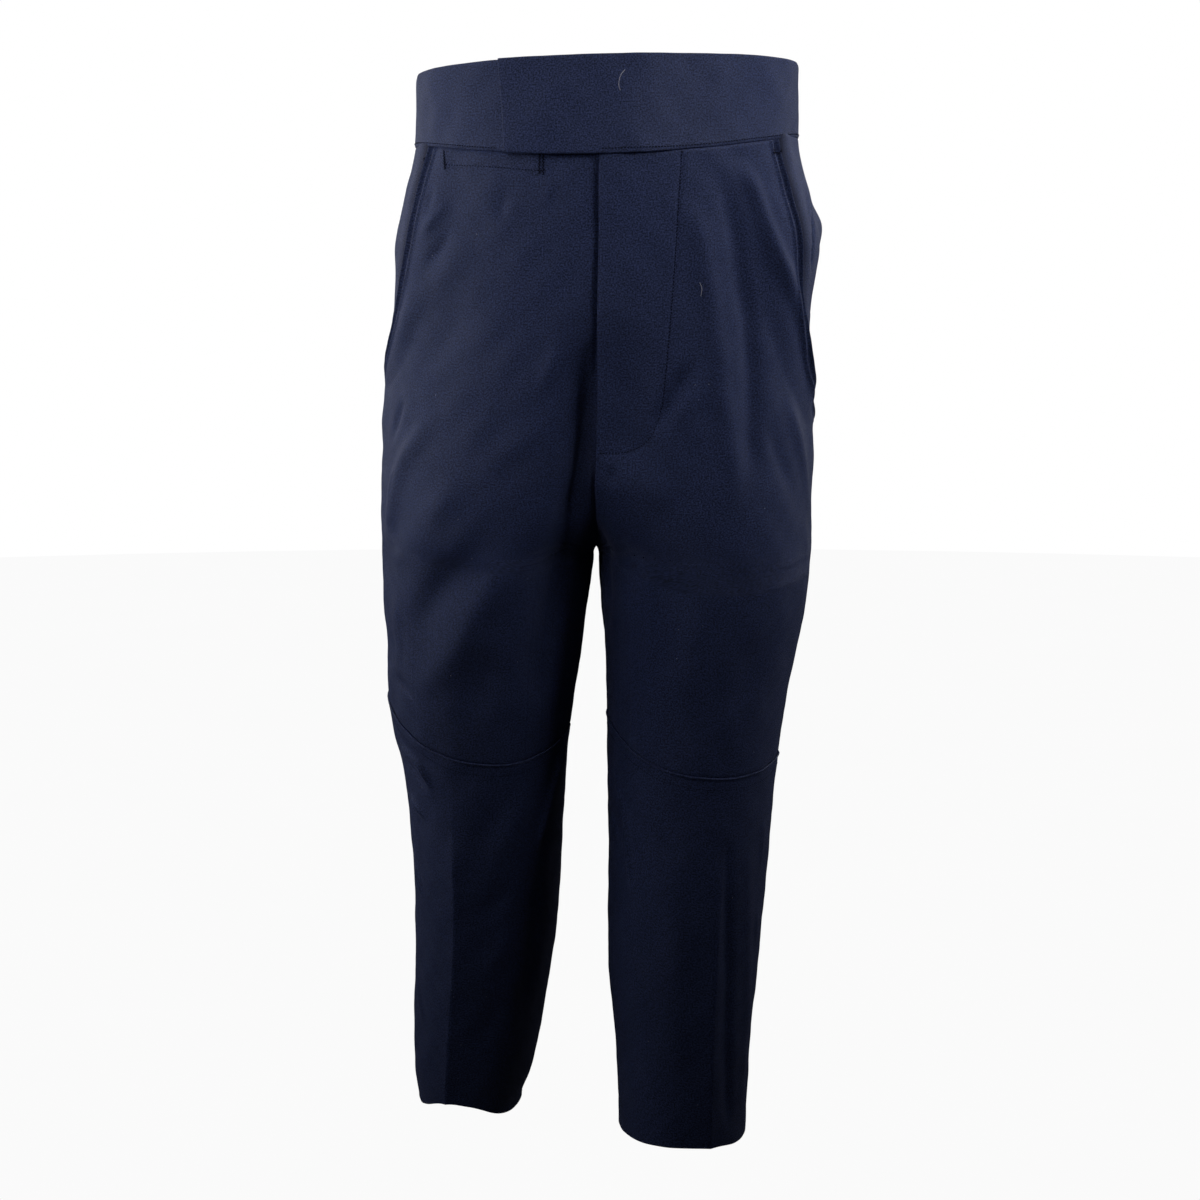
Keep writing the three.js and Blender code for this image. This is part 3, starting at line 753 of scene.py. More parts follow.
def press_to_centre(leg, points, across, column):
    """Brings one edge onto the centre line, and the cloth near it along."""
    edge = points[:, column]
    gap = edge[:, 0] - centre_x(edge[:, 2]) + leg.sign * SEAT["past"]
    gap = gap * np.clip((edge[:, 2] - CROTCH) / SEAT["fade"], 0, 1)
    away = across - across[:, column, None]
    points[..., 0] -= gap[:, None] * np.exp(-((away / SEAT["give"]) ** 2))


def sew_piece(
    name, leg, grid, place, lift, dips, wall=None, folds=FOLDS, finish=None, shade=None,
    centre=None,
):
    """A finished piece of cloth from its grid of shares: place turns shares across and down
    into a height and an angle. Dips holds the edges' shares, or works them out from those
    two. Centre is the column that meets the other half at the back."""
    share, down_share = np.meshgrid(*grid)
    z, angle = place(share, down_share)
    points, out = surface(leg, z, angle, lift, folds)
    dip, across, down = edge_dips(points, dips(z, angle) if callable(dips) else dips)
    points = points - out * dip[..., None]
    if centre is not None:
        press_to_centre(leg, points, across, centre)
    points = points * MM
    piece = mesh_from_grid(name, points, out, leg.sign * across * MM, down * MM)
    # Shade, when given, is stored as a painted shade attribute that darkens the cloth's colour
    # there.
    if shade:
        layer = piece.data.attributes.new("painted shade", "FLOAT", "POINT")
        layer.data.foreach_set("value", np.clip(shade(leg, z, angle), 0, 1).ravel())
    finish_cloth(piece, wall or bpy.context.scene.trouser_sizes.cloth, finish or twill)
    cell = np.linalg.norm(
        np.cross(np.diff(points[:-1], axis=1), np.diff(points[:, :-1], axis=0)), axis=-1
    )
    piece["cut_width"] = float(across[:, -1].max() * MM)
    piece["cut_length"] = float(down[-1].max() * MM)
    piece["cut_area"] = float(cell.sum())
    return piece


def new_piece(name, mesh):
    piece = bpy.data.objects.new(name, mesh)
    bpy.context.collection.objects.link(piece)
    return piece


def mesh_from_grid(name, points, out, u, v):
    """A sheet of quads that faces out, with its place on the flat cloth as its UV."""
    rows, columns = points.shape[:2]
    index = np.arange(rows * columns).reshape(rows, columns)
    corners = index[:-1, :-1], index[:-1, 1:], index[1:, 1:], index[1:, :-1]
    quads = np.stack(corners, axis=-1)
    i, j = rows // 2, columns // 2
    turn = np.cross(points[i, j + 1] - points[i, j], points[i + 1, j] - points[i, j])
    if np.dot(turn, out[i, j]) < 0:
        quads = quads[..., ::-1]
    mesh = bpy.data.meshes.new(name)
    mesh.from_pydata(points.reshape(-1, 3).tolist(), [], quads.reshape(-1, 4).tolist())
    layer = mesh.uv_layers.new(name="cut")
    loops = np.empty(len(mesh.loops), int)
    mesh.loops.foreach_get("vertex_index", loops)
    layer.data.foreach_set("uv", np.stack([u.ravel(), v.ravel()], axis=-1)[loops].ravel())
    return new_piece(name, mesh)


def make_active(piece):
    bpy.ops.object.select_all(action="DESELECT")
    piece.select_set(True)
    bpy.context.view_layer.objects.active = piece


def finish_cloth(piece, wall, finish):
    """Gives a sheet its thickness and rounds its rims."""
    make_active(piece)
    solid = piece.modifiers.new("thickness", "SOLIDIFY")
    solid.thickness, solid.offset = wall, -1
    bevel = piece.modifiers.new("rounded rim", "BEVEL")
    bevel.limit_method, bevel.angle_limit = "ANGLE", math.radians(50)
    bevel.width, bevel.segments, bevel.use_clamp_overlap = RIM_ROUND * wall, 2, False
    for modifier in [m.name for m in piece.modifiers]:
        bpy.ops.object.modifier_apply(modifier=modifier)
    bpy.ops.object.shade_smooth_by_angle(angle=math.radians(60))
    piece.data.materials.append(finish())


def hang(piece, node):
    """Ties a piece of cloth to the frame in place of a plain node."""
    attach(piece, "root")
    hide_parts(node)
    flat = (piece["cut_width"], piece["cut_length"])
    area = min(piece["cut_area"], flat[0] * flat[1])


def make_thigh(leg):
    def place(share, down):
        top = waist_seam(leg, lerp(math.pi / 2, 0, share)) - SEAM_GAP / 2
        bottom = knee_seam(leg, share) + SEAM_GAP / 2
        z = lerp(top, bottom, down)
        underlap = FLY_UNDERLAP * ease(z, *UNDERLAP_FOOT) if leg is RIGHT else 0
        inner = inner_angle(leg, z, "front", underlap - SEAM_GAP / 2)
        outer = mouth_angle(leg, z) + leg.gap_angle(z, "front")
        angle = lerp(inner, outer, share)
        top = waist_seam(leg, angle) - SEAM_GAP / 2
        return lerp(top, bottom, down), angle

    def dips(z, angle):
        turn, end = EDGE_TURN, leg.mouth["end"]
        fly = ease(z - FLY_END, -turn["fly"], turn["fly"]) if leg is LEFT else 0
        side = ease(z - end, -turn["mouth"], 0)
        return lerp(SEWN, FREE, fly), lerp(SEWN, FREE, side), SEWN, KNEE_DIP

    return sew_piece(
        f"{leg.name}_front", leg, grid_of("front"), place, thigh_lift, dips, shade=thigh_shade
    )


def make_shin(leg):
    def place(share, down):
        z = lerp(knee_seam(leg, share) - SEAM_GAP / 2, hem_line(leg, math.pi * (1 - share)), down)
        gap = leg.gap_angle(z, "front")
        return z, lerp(math.pi - gap, gap, share)

    columns, rows = grid_of("lower front")
    columns[np.abs(columns - CREASE["share"]).argmin()] = CREASE["share"]
    dips = (SEWN, SEWN, 0, 0)
    return sew_piece(f"{leg.name}_lower_front", leg, (columns, rows), place, shin_lift, dips)


def make_back(leg):
    def place(share, down):
        rough = -share * math.pi / 2
        z = lerp(waist_seam(leg, rough) - SEAM_GAP / 2, hem_line(leg, 2 * rough), down)
        angle = -lerp(leg.gap_angle(z, "back"), inner_angle(leg, z, "back"), share)
        return lerp(waist_seam(leg, angle) - SEAM_GAP / 2, hem_line(leg, angle), down), angle

    dips = (SEWN, SEWN, SEWN, 0)
    return sew_piece(
        f"{leg.name}_back", leg, grid_of("back"), place, back_lift, dips, centre=-1
    )


def make_facing(leg):
    def place(share, down):
        top = waist_seam(leg, 0 * share) - SEAM_GAP / 2
        z = lerp(top, leg.mouth["end"] - FACING["below"], down)
        inner = mouth_angle(leg, z) + math.radians(FACING["underlap"])
        return z, lerp(inner, leg.gap_angle(z, "front"), share)

    dips = (0, SEWN, SEWN, 0)
    return sew_piece(
        f"{leg.name}_pocket_facing", leg, grid_of("facing"), place, facing_lift, dips,
        shade=facing_shade,
    )


def make_band(leg):
    ends = TAB_END if leg is LEFT else BAND_UNDERLAP

    def place(share, down):
        level = 0 * share
        middle = leg.angle_at(level, centre_x(level))
        z = lerp(band_top(leg, -middle), waist_seam(leg, -middle), down)
        start = -leg.angle_at(z, centre_x(z) + leg.sign * SEAM_GAP / 2)
        end = leg.angle_at(level, lerp(ends["top"], ends["bottom"], down))
        angle = lerp(start, end, share)
        over = TAB_DROP * band_lift(leg, 0 * angle, angle) / TAB_LIFT
        bottom = waist_seam(leg, angle) + SEAM_GAP / 2 - over
        return lerp(band_top(leg, angle), bottom, down), angle

    return sew_piece(
        f"{leg.name}_waistband", leg, grid_of("band"), place, band_lift, BAND_DIPS,
        wall=bpy.context.scene.trouser_sizes.band, folds=BAND_FOLDS, centre=0,
    )


# ---------------------------------------------------------------- stitches
STITCHES = {"share": 0.72, "height": 0.7, "turn": 0.06, "aside": 0.05, "seed": 7}
LOOK_AHEAD = 0.1  # how far along a row its direction is measured
# Above the waist seam, from the centre back to each half's front end.
WAIST_ROW = {"inset": 2.5, "start": 1.5, "left": -6, "right": -84, "level": -38, "points": 240}
# Below the knee seam. Its thread is finer, because it sinks into the cloth.
KNEE_ROW = {
    "inset": 9.3, "end": 0.03, "points": 160, "share": 0.6, "width": 0.55, "height": 0.3,
}
POCKET_ROW = {"top": -36, "below": 2, "points": 120}
TACK = {"pitch": 0.9, "length": 0.0012, "height": 0.8, "raise": 0.15}
WATCH_TACKS = [
    [(-121.5, -36), (-121, -50)], [(-51, -38.5), (-51.5, -55)], [(-48.5, -38.5), (-48.5, -56)],
]
POCKET_TACKS = {
    "left": [[(120, -38), (122, -33.5)], [(120, -38), (127, -36)], [(127, -36), (126, -33.5)]],
    "right": [[(-137, -40), (-136, -43)], [(-132, -38), (-131.5, -43)]],
}


def copy_many(name, master, centres, along, out):
    """One mesh of many copies of a small master, each laid along a direction."""
    shape = np.empty(len(master.vertices) * 3)
    master.vertices.foreach_get("co", shape)
    shape = shape.reshape(-1, 3)
    along = unit(along)
    side = unit(np.cross(out, along))
    turn = np.stack([along, side, np.cross(along, side)], axis=-1)
    points = centres[:, None] + np.einsum("nij,vj->nvi", turn, shape)
    faces = [list(p.vertices) for p in master.polygons]
    step = len(master.vertices)
    copies = [[k + step * n for k in face] for n in range(len(centres)) for face in faces]
    mesh = bpy.data.meshes.new(name)
    mesh.from_pydata(points.reshape(-1, 3).tolist(), [], copies)
    mesh.polygons.foreach_set("use_smooth", [True] * len(mesh.polygons))
    return mesh


def stitch_master(length, width, height):
    """One stitch: a short thread that dives into the cloth at both ends."""
    bpy.ops.object.select_all(action="DESELECT")
    bpy.ops.mesh.primitive_uv_sphere_add(segments=8, ring_count=5, radius=0.5)
    master = bpy.context.object
    bpy.ops.object.mode_set(mode="EDIT")
    bpy.ops.transform.rotate(value=math.pi / 2, orient_axis="Y", center_override=(0, 0, 0))
    bpy.ops.transform.resize(value=(length, width, height))
    bpy.ops.object.mode_set(mode="OBJECT")
    mesh = master.data.copy()
    bpy.data.objects.remove(master)
    return mesh


def resample(points, pitch):
    """Centres, directions and shares of the way, at even steps along a line of points."""
    steps = np.linalg.norm(np.diff(points, axis=0), axis=1)
    run = np.concatenate([[0], steps.cumsum()])
    count = max(1, int(run[-1] / pitch))
    at = (np.arange(count) + 0.5) * run[-1] / count

    def place(where):
        return np.stack([np.interp(where, run, points[:, k]) for k in range(3)], axis=-1)

    return place(at), place(at + LOOK_AHEAD) - place(at - LOOK_AHEAD), at / run[-1]


class Row:
    """A row of stitches on a piece: a leg, the piece's lift, its folds, and places on it."""

    def __init__(self, leg, lift, z, angle, folds=FOLDS):
        self.leg, self.lift, self.z, self.angle, self.folds = leg, lift, z, angle, folds

    @classmethod
    def across_front(cls, leg, points):
        x, z = curve_through(points).T
        return cls(leg, thigh_lift, z, leg.angle_at(z, x))

    def stitches(self, pitch):
        points, out = surface(self.leg, self.z, self.angle, self.lift, self.folds)
        centres, along, share = resample(points, pitch)
        grid = np.linspace(0, 1, len(out))
        out = unit(np.stack([np.interp(share, grid, out[:, k]) for k in range(3)], axis=-1))
        return centres, along, out


def sew(name, rows, pitch, size, raise_by=0.05):
    """One piece with all the stitches of some rows, none quite in line."""
    parts = [row.stitches(pitch) for row in rows]
    centres, along, out = (np.concatenate(group) for group in zip(*parts))
    rng = np.random.default_rng(STITCHES["seed"])
    side = unit(np.cross(out, along))
    along = unit(along) + rng.normal(0, STITCHES["turn"], (len(along), 1)) * side
    aside = rng.normal(0, STITCHES["aside"], (len(along), 1)) * side
    centres = (centres + raise_by * out + aside) * MM
    piece = new_piece(name, copy_many(name, stitch_master(*size), centres, along, out))
    piece.data.materials.append(thread())
    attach(piece, "root")
    return piece


def waist_row(leg):
    level, end_level = np.array(0.0), np.array(float(WAIST_ROW["level"]))
    start = -leg.angle_at(level, centre_x(level) + leg.sign * WAIST_ROW["start"])
    end = leg.angle_at(end_level, np.array(float(WAIST_ROW[leg.name])))
    angle = np.linspace(start, end, WAIST_ROW["points"])
    z = waist_seam(leg, angle) + SEAM_GAP / 2 + WAIST_ROW["inset"]
    return Row(leg, band_lift, z, angle, BAND_FOLDS)


def knee_row(leg):
    share = np.linspace(KNEE_ROW["end"], 1 - KNEE_ROW["end"], KNEE_ROW["points"])
    return Row(leg, shin_lift, knee_seam(leg, share) - KNEE_ROW["inset"], math.pi * (1 - share))


def pocket_row(leg):
    z = np.linspace(POCKET_ROW["top"], leg.mouth["end"] - POCKET_ROW["below"], POCKET_ROW["points"])
    edge = leg.round_from_side(z, mouth_angle(leg, z))
    return Row(leg, thigh_lift, z, leg.angle_round(z, edge + MOUTH_STITCH))


def tack(leg, points, zigs=7, swing=1.1):
    """A bar tack: a dense zigzag between two points."""
    (x0, z0), (x1, z1) = points
    share = np.linspace(0, 1, 2 * zigs + 1)
    length = math.hypot(x1 - x0, z1 - z0)
    side = np.array([(z1 - z0), -(x1 - x0)]) / length
    sway = swing / 2 * (-1) ** np.arange(len(share))
    x = lerp(x0, x1, share) + side[0] * sway
    z = lerp(z0, z1, share) + side[1] * sway
    return Row(leg, thigh_lift, z, leg.angle_at(z, x))


# ---------------------------------------------------------------- closure
# Across the front from the centre line, down it, and how far behind the fly.
TAPE = {"left": -8, "right": 27, "top": -43, "bottom": -252, "depth": 2.4, "wall": 0.0008}
TEETH = {
    "x": 15.5, "top": -60, "bottom": -248, "pitch": 2.4, "aside": 0.7, "raise": 0.3,
    "size": (0.0026, 0.0011, 0.0006), "bevel": 0.0002,
}


def tape_lift(leg, z, angle):
    return fly_lift(leg, z, angle) - TAPE["depth"]


def make_tape():
    def place(share, down):
        z = lerp(TAPE["top"], TAPE["bottom"], down)
        return z, RIGHT.angle_at(z, centre_x(z) + lerp(TAPE["left"], TAPE["right"], share))

    return sew_piece(
        "zip_ribbon", RIGHT, grid_of("tape"), place, tape_lift, (0, 0, 0, 0),
        wall=TAPE["wall"], finish=tape_cloth,
    )


def make_teeth():
    """The zip's two rows of teeth, which mesh down the middle of the tape."""
    bpy.ops.object.select_all(action="DESELECT")
    bpy.ops.mesh.primitive_cube_add(size=1)
    master = bpy.context.object
    bpy.ops.object.mode_set(mode="EDIT")
    bpy.ops.transform.resize(value=TEETH["size"])
    bpy.ops.mesh.bevel(offset=TEETH["bevel"], segments=1)
    bpy.ops.object.mode_set(mode="OBJECT")
    count = int((TEETH["top"] - TEETH["bottom"]) / TEETH["pitch"] * 2)
    z = np.linspace(TEETH["top"], TEETH["bottom"], count)
    side = TEETH["aside"] * (-1.0) ** np.arange(count)
    angle = RIGHT.angle_at(z, centre_x(z) + TEETH["x"] + side)
    points, out = surface(RIGHT, z, angle, tape_lift)
    centres = (points + TEETH["raise"] * out) * MM
    along = np.cross(out, np.array([[0, 0, 1.0]]))
    piece = new_piece("zip_teeth", copy_many("zip_teeth", master.data, centres, along, out))
    bpy.data.objects.remove(master)
    make_active(piece)
    bpy.ops.object.shade_smooth_by_angle(angle=math.radians(30))
    piece.data.materials.append(dull_metal())
    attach(piece, "root")


# ---------------------------------------------------------------- lint
HAIRS = [
    (LEFT, "band", [(11, 19), (8, 15), (6.5, 9), (7.5, 4)]),
    (LEFT, "front", [(66, -134), (67.5, -138), (67, -144)]),
    (LEFT, "back", [(92, -260), (96, -266), (95, -274), (90, -279)]),
    (RIGHT, "back", [(-74, -130), (-79, -134), (-86, -133)]),
]
HAIR_RAISE = 0.15
# Specks on each leg's front and on its back: how many, between which heights and angles, and
# the widest angle above the crotch.
SPECKS = {
    "count": 16, "low": -800, "high": -60, "from": 0.35, "to": 2.3, "most": 1.3,
    "raise": 0.1, "length": 0.5, "seed": 11, "size": (0.0009, 0.00028, 0.00022),
}
LIFTS = {"band": band_lift, "front": thigh_lift, "back": back_lift}


def lay_hair(leg, face, points):
    """Centres, directions and outward directions of the short lengths that make up a hair."""
    x, z = curve_through(points, 8).T
    angle = leg.angle_at(z, x) * (-1 if face == "back" else 1)
    folds = BAND_FOLDS if face == "band" else FOLDS
    points, out = surface(leg, z, angle, LIFTS[face], folds)
    middles = (points[1:] + points[:-1]) / 2
    return middles + HAIR_RAISE * out[1:], np.diff(points, axis=0), out[1:]


def scatter_specks(leg, face, rng):
    count = SPECKS["count"]
    z = rng.uniform(SPECKS["low"], SPECKS["high"], count)
    angle = rng.uniform(SPECKS["from"], SPECKS["to"], count)
    angle = np.where(z > CROTCH, np.minimum(angle, SPECKS["most"]), angle)
    if face == "back":
        points, out = surface(leg, z, -angle, back_lift)
    else:
        upper, out = surface(leg, z, angle, thigh_lift)
        lower, _ = surface(leg, z, angle, shin_lift)
        points = np.where((z > knee_seam(leg, 1 - angle / math.pi))[:, None], upper, lower)
    return points + SPECKS["raise"] * out, rng.normal(0, SPECKS["length"], (count, 3)), out


# ---------------------------------------------------------------- materials
def made_once(kind, name):
    """Wraps a function that makes a material or node group, so that it is made only once."""

    def wrap(make):
        def found_or_made():
            return getattr(bpy.data, kind).get(name) or make(name)

        return found_or_made

    return wrap


def set_socket(node, **values):
    """Sets sockets by name, with an underscore for each space."""
    for name, value in values.items():
        node.inputs[name.replace("_", " ")].default_value = value


def new_group(name, inputs, outputs):
    """A node group that takes a vector and some numbers, and gives numbers."""
    group = bpy.data.node_groups.new(name, "ShaderNodeTree")
    face = group.interface
    face.new_socket("Vector", in_out="INPUT", socket_type="NodeSocketVector")
    for key, value in inputs.items():
        face.new_socket(key, in_out="INPUT", socket_type="NodeSocketFloat").default_value = value
    for key in outputs:
        face.new_socket(key, in_out="OUTPUT", socket_type="NodeSocketFloat")
    nodes = group.nodes
    return group, nodes, nodes.new("NodeGroupInput"), nodes.new("NodeGroupOutput")


WEAVE = {
    "rib": 0.22, "level": 0.4, "wander": 1.6, "fuzz": 0.9,
    "blotch size": 0.21, "blotch": 0.12, "fleck": 1.88,
}


@made_once("node_groups", "twill weave")
def weave_group(name):
    """Twill: fine ribs that climb to the right, broken up by uneven yarn."""
    inputs = {"Rib": 0.0009, "Slope": 1.9, "Yarn": 0.0012}
    group, nodes, given, result = new_group(name, inputs, ("Height", "Shade"))
    links = group.links

    def work(operation, *values):
        node = nodes.new("ShaderNodeMath")
        node.operation = operation
        for socket, value in zip(node.inputs, values):
            if isinstance(value, (int, float)):
                socket.default_value = value
            else:
                links.new(value, socket)
        return node.outputs[0]

    def noise(scale, detail):
        node = nodes.new("ShaderNodeTexNoise")
        node.inputs["Detail"].default_value = detail
        links.new(given.outputs["Vector"], node.inputs["Vector"])
        links.new(scale, node.inputs["Scale"])
        return node.outputs[0]

    apart = nodes.new("ShaderNodeSeparateXYZ")
    links.new(given.outputs["Vector"], apart.inputs[0])
    per_yarn = work("DIVIDE", 1.0, given.outputs["Yarn"])
    yarn = noise(per_yarn, 2.0)
    coarse = noise(work("MULTIPLY", per_yarn, WEAVE["blotch size"]), 1.0)
    slant = work("MULTIPLY_ADD", apart.outputs[0], given.outputs["Slope"], apart.outputs[1])
    turns = work("DIVIDE", slant, given.outputs["Rib"])
    wander = work("MULTIPLY_ADD", yarn, WEAVE["wander"], turns)
    wave = work("SINE", work("MULTIPLY", wander, 2 * math.pi))
    rib = work("MULTIPLY_ADD", wave, WEAVE["rib"], WEAVE["level"])
    height = work("MULTIPLY_ADD", yarn, WEAVE["fuzz"], rib)
    fleck = work("MULTIPLY", yarn, WEAVE["fleck"])
    mottle = work("MULTIPLY_ADD", coarse, WEAVE["blotch"], fleck)
    links.new(height, result.inputs["Height"])
    links.new(mottle, result.inputs["Shade"])
    return group


@made_once("node_groups", "handled cloth")
def wear_group(name):
    """Broad, faint changes of tone, as cloth has from pressing and handling."""
    group, nodes, given, result = new_group(name, {"Scale": 14}, ("Tone",))
    noise = nodes.new("ShaderNodeTexNoise")
    set_socket(noise, Detail=3.0, Roughness=0.55)
    for key in ("Vector", "Scale"):
        group.links.new(given.outputs[key], noise.inputs[key])
    group.links.new(noise.outputs[0], result.inputs["Tone"])
    return group


def scaled(colour, factor):
    return tuple(channel * factor for channel in colour)


class Recipe:
    """A new material, and short ways to add nodes to it."""

    def __init__(self, name):
        self.material = bpy.data.materials.new(name)
        self.material.use_nodes = True
        self.nodes = self.material.node_tree.nodes
        self.link = self.material.node_tree.links.new
        self.shader = self.nodes["Principled BSDF"]
        self.where = self.nodes.new("ShaderNodeTexCoord").outputs["Object"]

    def group(self, tree, vector, **values):
        node = self.nodes.new("ShaderNodeGroup")
        node.node_tree = tree
        set_socket(node, **values)
        self.link(vector, node.inputs["Vector"])
        return node.outputs

    def noise(self, vector=None, **values):
        node = self.nodes.new("ShaderNodeTexNoise")
        set_socket(node, **values)
        self.link(vector or self.where, node.inputs["Vector"])
        return node.outputs[0]

    def mapped(self, socket, value):
        """The place on the piece, turned or stretched."""
        node = self.nodes.new("ShaderNodeMapping")
        node.inputs[socket].default_value = value
        self.link(self.where, node.inputs["Vector"])
        return node.outputs["Vector"]

    def remap(self, value, low=0.0, high=1.0, to=(0.0, 1.0)):
        node = self.nodes.new("ShaderNodeMapRange")
        set_socket(node, From_Min=low, From_Max=high, To_Min=to[0], To_Max=to[1])
        self.link(value, node.inputs["Value"])
        return node.outputs["Result"]

    def blend(self, mask, low, high):
        """A colour between two, by a mask."""
        node = self.nodes.new("ShaderNodeMix")
        node.data_type = "RGBA"
        self.link(mask, node.inputs["Factor"])
        set_socket(node, A=(*low, 1), B=(*high, 1))
        return node.outputs["Result"]

    def times(self, a, b):
        """Two colours multiplied."""
        node = self.nodes.new("ShaderNodeMix")
        node.data_type, node.blend_type = "RGBA", "MULTIPLY"
        node.inputs["Factor"].default_value = 1
        self.link(a, node.inputs["A"])
        self.link(b, node.inputs["B"])
        return node.outputs["Result"]

    def bump(self, height, strength, distance):
        node = self.nodes.new("ShaderNodeBump")
        set_socket(node, Strength=strength, Distance=distance)
        self.link(height, node.inputs["Height"])
        self.link(node.outputs["Normal"], self.shader.inputs["Normal"])

    def finish(self, colour, roughness=None, **values):
        self.link(colour, self.shader.inputs["Base Color"])
        if roughness is not None:
            self.link(roughness, self.shader.inputs["Roughness"])
        set_socket(self.shader, **values)
        return self.material


@made_once("materials", "navy twill")
def twill(name):
    """The navy twill of every cloth piece, darkened by painted shade where a piece marks it."""
    make = Recipe(name)
    place = make.nodes.new("ShaderNodeUVMap")
    place.uv_map = "cut"
    weave = make.group(weave_group(), place.outputs["UV"])
    tone = make.group(wear_group(), make.where)["Tone"]
    colour = tuple(bpy.context.scene.trouser_finishes.cloth)
    grain = make.remap(weave["Shade"], 0.74, 1.3)
    yarn = make.blend(grain, scaled(colour, 0.2), scaled(colour, 2.2))
    handled = make.blend(make.remap(tone, 0.3, 0.7), (0.97, 0.97, 0.96), (1.02, 1.03, 1.04))
    # Painted shade: the colour goes towards near-black blue where the piece's painted shade
    # attribute is set.
    painted_shade_layer = make.nodes.new("ShaderNodeAttribute")
    painted_shade_layer.attribute_name = "painted shade"
    deep = make.blend(painted_shade_layer.outputs["Fac"], (1, 1, 1), (0.05, 0.06, 0.12))
    make.bump(weave["Height"], 0.8, 0.00025)
    return make.finish(
        make.times(make.times(yarn, handled), deep), make.remap(tone, to=(0.56, 0.66)),
        Sheen_Weight=0.12, Sheen_Roughness=0.4, Sheen_Tint=(0.55, 0.6, 1, 1),
        Specular_IOR_Level=0.28, Specular_Tint=(0.5, 0.58, 1, 1),
    )


@made_once("materials", "navy thread")
def thread(name):
    """Sewing thread, a little darker than the cloth."""
    make, colour = Recipe(name), tuple(bpy.context.scene.trouser_finishes.thread)
    twist = make.remap(make.noise(Scale=2400.0, Detail=1.0), 0.35, 0.65)
    mixed = make.blend(twist, scaled(colour, 0.7), scaled(colour, 1.4))
    return make.finish(mixed, Roughness=0.9, Specular_IOR_Level=0.1)


@made_once("materials", "zip tape")
def tape_cloth(name):
    """The zip's woven tape."""
    make, colour = Recipe(name), tuple(bpy.context.scene.trouser_finishes.tape)
    turned = make.mapped("Rotation", (math.pi / 2, 0, 0))
    weave = make.group(weave_group(), turned, Rib=0.0012, Slope=0.6, Yarn=0.0009)
    mask = make.remap(weave["Shade"], 0.5, 1.5)
    make.bump(weave["Height"], 0.4, 0.0002)
    return make.finish(make.blend(mask, scaled(colour, 0.6), scaled(colour, 1.5)), Roughness=0.8)


@made_once("materials", "dull steel")
def dull_metal(name):
    """Brushed steel of the zip, hook and bar."""
    make, colour = Recipe(name), tuple(bpy.context.scene.trouser_finishes.metal)
    brushed = make.noise(make.mapped("Scale", (400, 400, 4000)), Scale=1.0, Detail=3.0)
    mask = make.remap(brushed, 0.35, 0.65)
    mixed = make.blend(mask, scaled(colour, 0.8), scaled(colour, 1.1))
    return make.finish(mixed, make.remap(brushed, to=(0.28, 0.5)), Metallic=1.0)


@made_once("materials", "pale lint")
def lint(name):
    """Pale hairs and specks."""
    make, colour = Recipe(name), tuple(bpy.context.scene.trouser_finishes.lint)
    mixed = make.blend(make.noise(Scale=900.0), scaled(colour, 0.7), scaled(colour, 1.2))
    return make.finish(mixed, Roughness=0.9)


@made_once("materials", "pale floor")
def pale_floor(name):
    """A floor that looks pale but casts little light back onto the cloth."""
    make, colour = Recipe(name), tuple(bpy.context.scene.trouser_stage.floor_colour)
    mask = make.noise(Scale=3.0, Detail=2.0)
    pale = make.blend(mask, scaled(colour, 0.995), colour)
    dull = make.blend(mask, scaled(colour, 0.2), scaled(colour, 0.22))
    bright = make.nodes.new("ShaderNodeEmission")
    make.link(pale, bright.inputs["Color"])
    material = make.finish(dull, Roughness=0.9, Specular_IOR_Level=0.1)
    show_to_camera(material.node_tree, "Material Output", make.shader, bright)
    return material


def show_to_camera(tree, output, lit, seen):
    """Joins two shaders: one that lights the scene and one that the camera sees."""
    path, choose = tree.nodes.new("ShaderNodeLightPath"), tree.nodes.new("ShaderNodeMixShader")
    tree.links.new(path.outputs["Is Camera Ray"], choose.inputs[0])
    tree.links.new(lit.outputs[0], choose.inputs[1])
    tree.links.new(seen.outputs[0], choose.inputs[2])
    tree.links.new(choose.outputs[0], tree.nodes[output].inputs["Surface"])


# ---------------------------------------------------------------- settings
class TrouserSizes(PropertyGroup):
    """Sizes of the cloth, its seams and its stitches."""

    cloth: FloatProperty(
        name="Cloth", description="Wall of a panel", default=0.0015, min=0.001, max=0.003,
        unit="LENGTH", precision=4,
    )
    band: FloatProperty(
        name="Waistband", description="Wall of the folded, stiffened waistband", default=0.0024,
        min=0.001, max=0.004, unit="LENGTH", precision=4,
    )
    seam_depth: FloatProperty(
        name="Seam depth", description="How far cloth dips beside a seam", default=0.0008,
        min=0, max=0.002, unit="LENGTH", precision=4,
    )
    seam_width: FloatProperty(
        name="Seam width", description="How wide that dip is", default=0.0013, min=0.0005,
        max=0.004, unit="LENGTH", precision=4,
    )
    fold_depth: FloatProperty(
        name="Fold depth", description="Share of their full depth that the folds have",
        default=1.25, min=0, max=1.5, subtype="FACTOR",
    )
    stitch: FloatProperty(
        name="Stitch", description="Length of a stitch with its gap", default=0.0023, min=0.001,
        max=0.005, unit="LENGTH", precision=4,
    )
    thread: FloatProperty(
        name="Thread", description="Width of the sewing thread", default=0.0009, min=0.0002,
        max=0.001, unit="LENGTH", precision=5,
    )


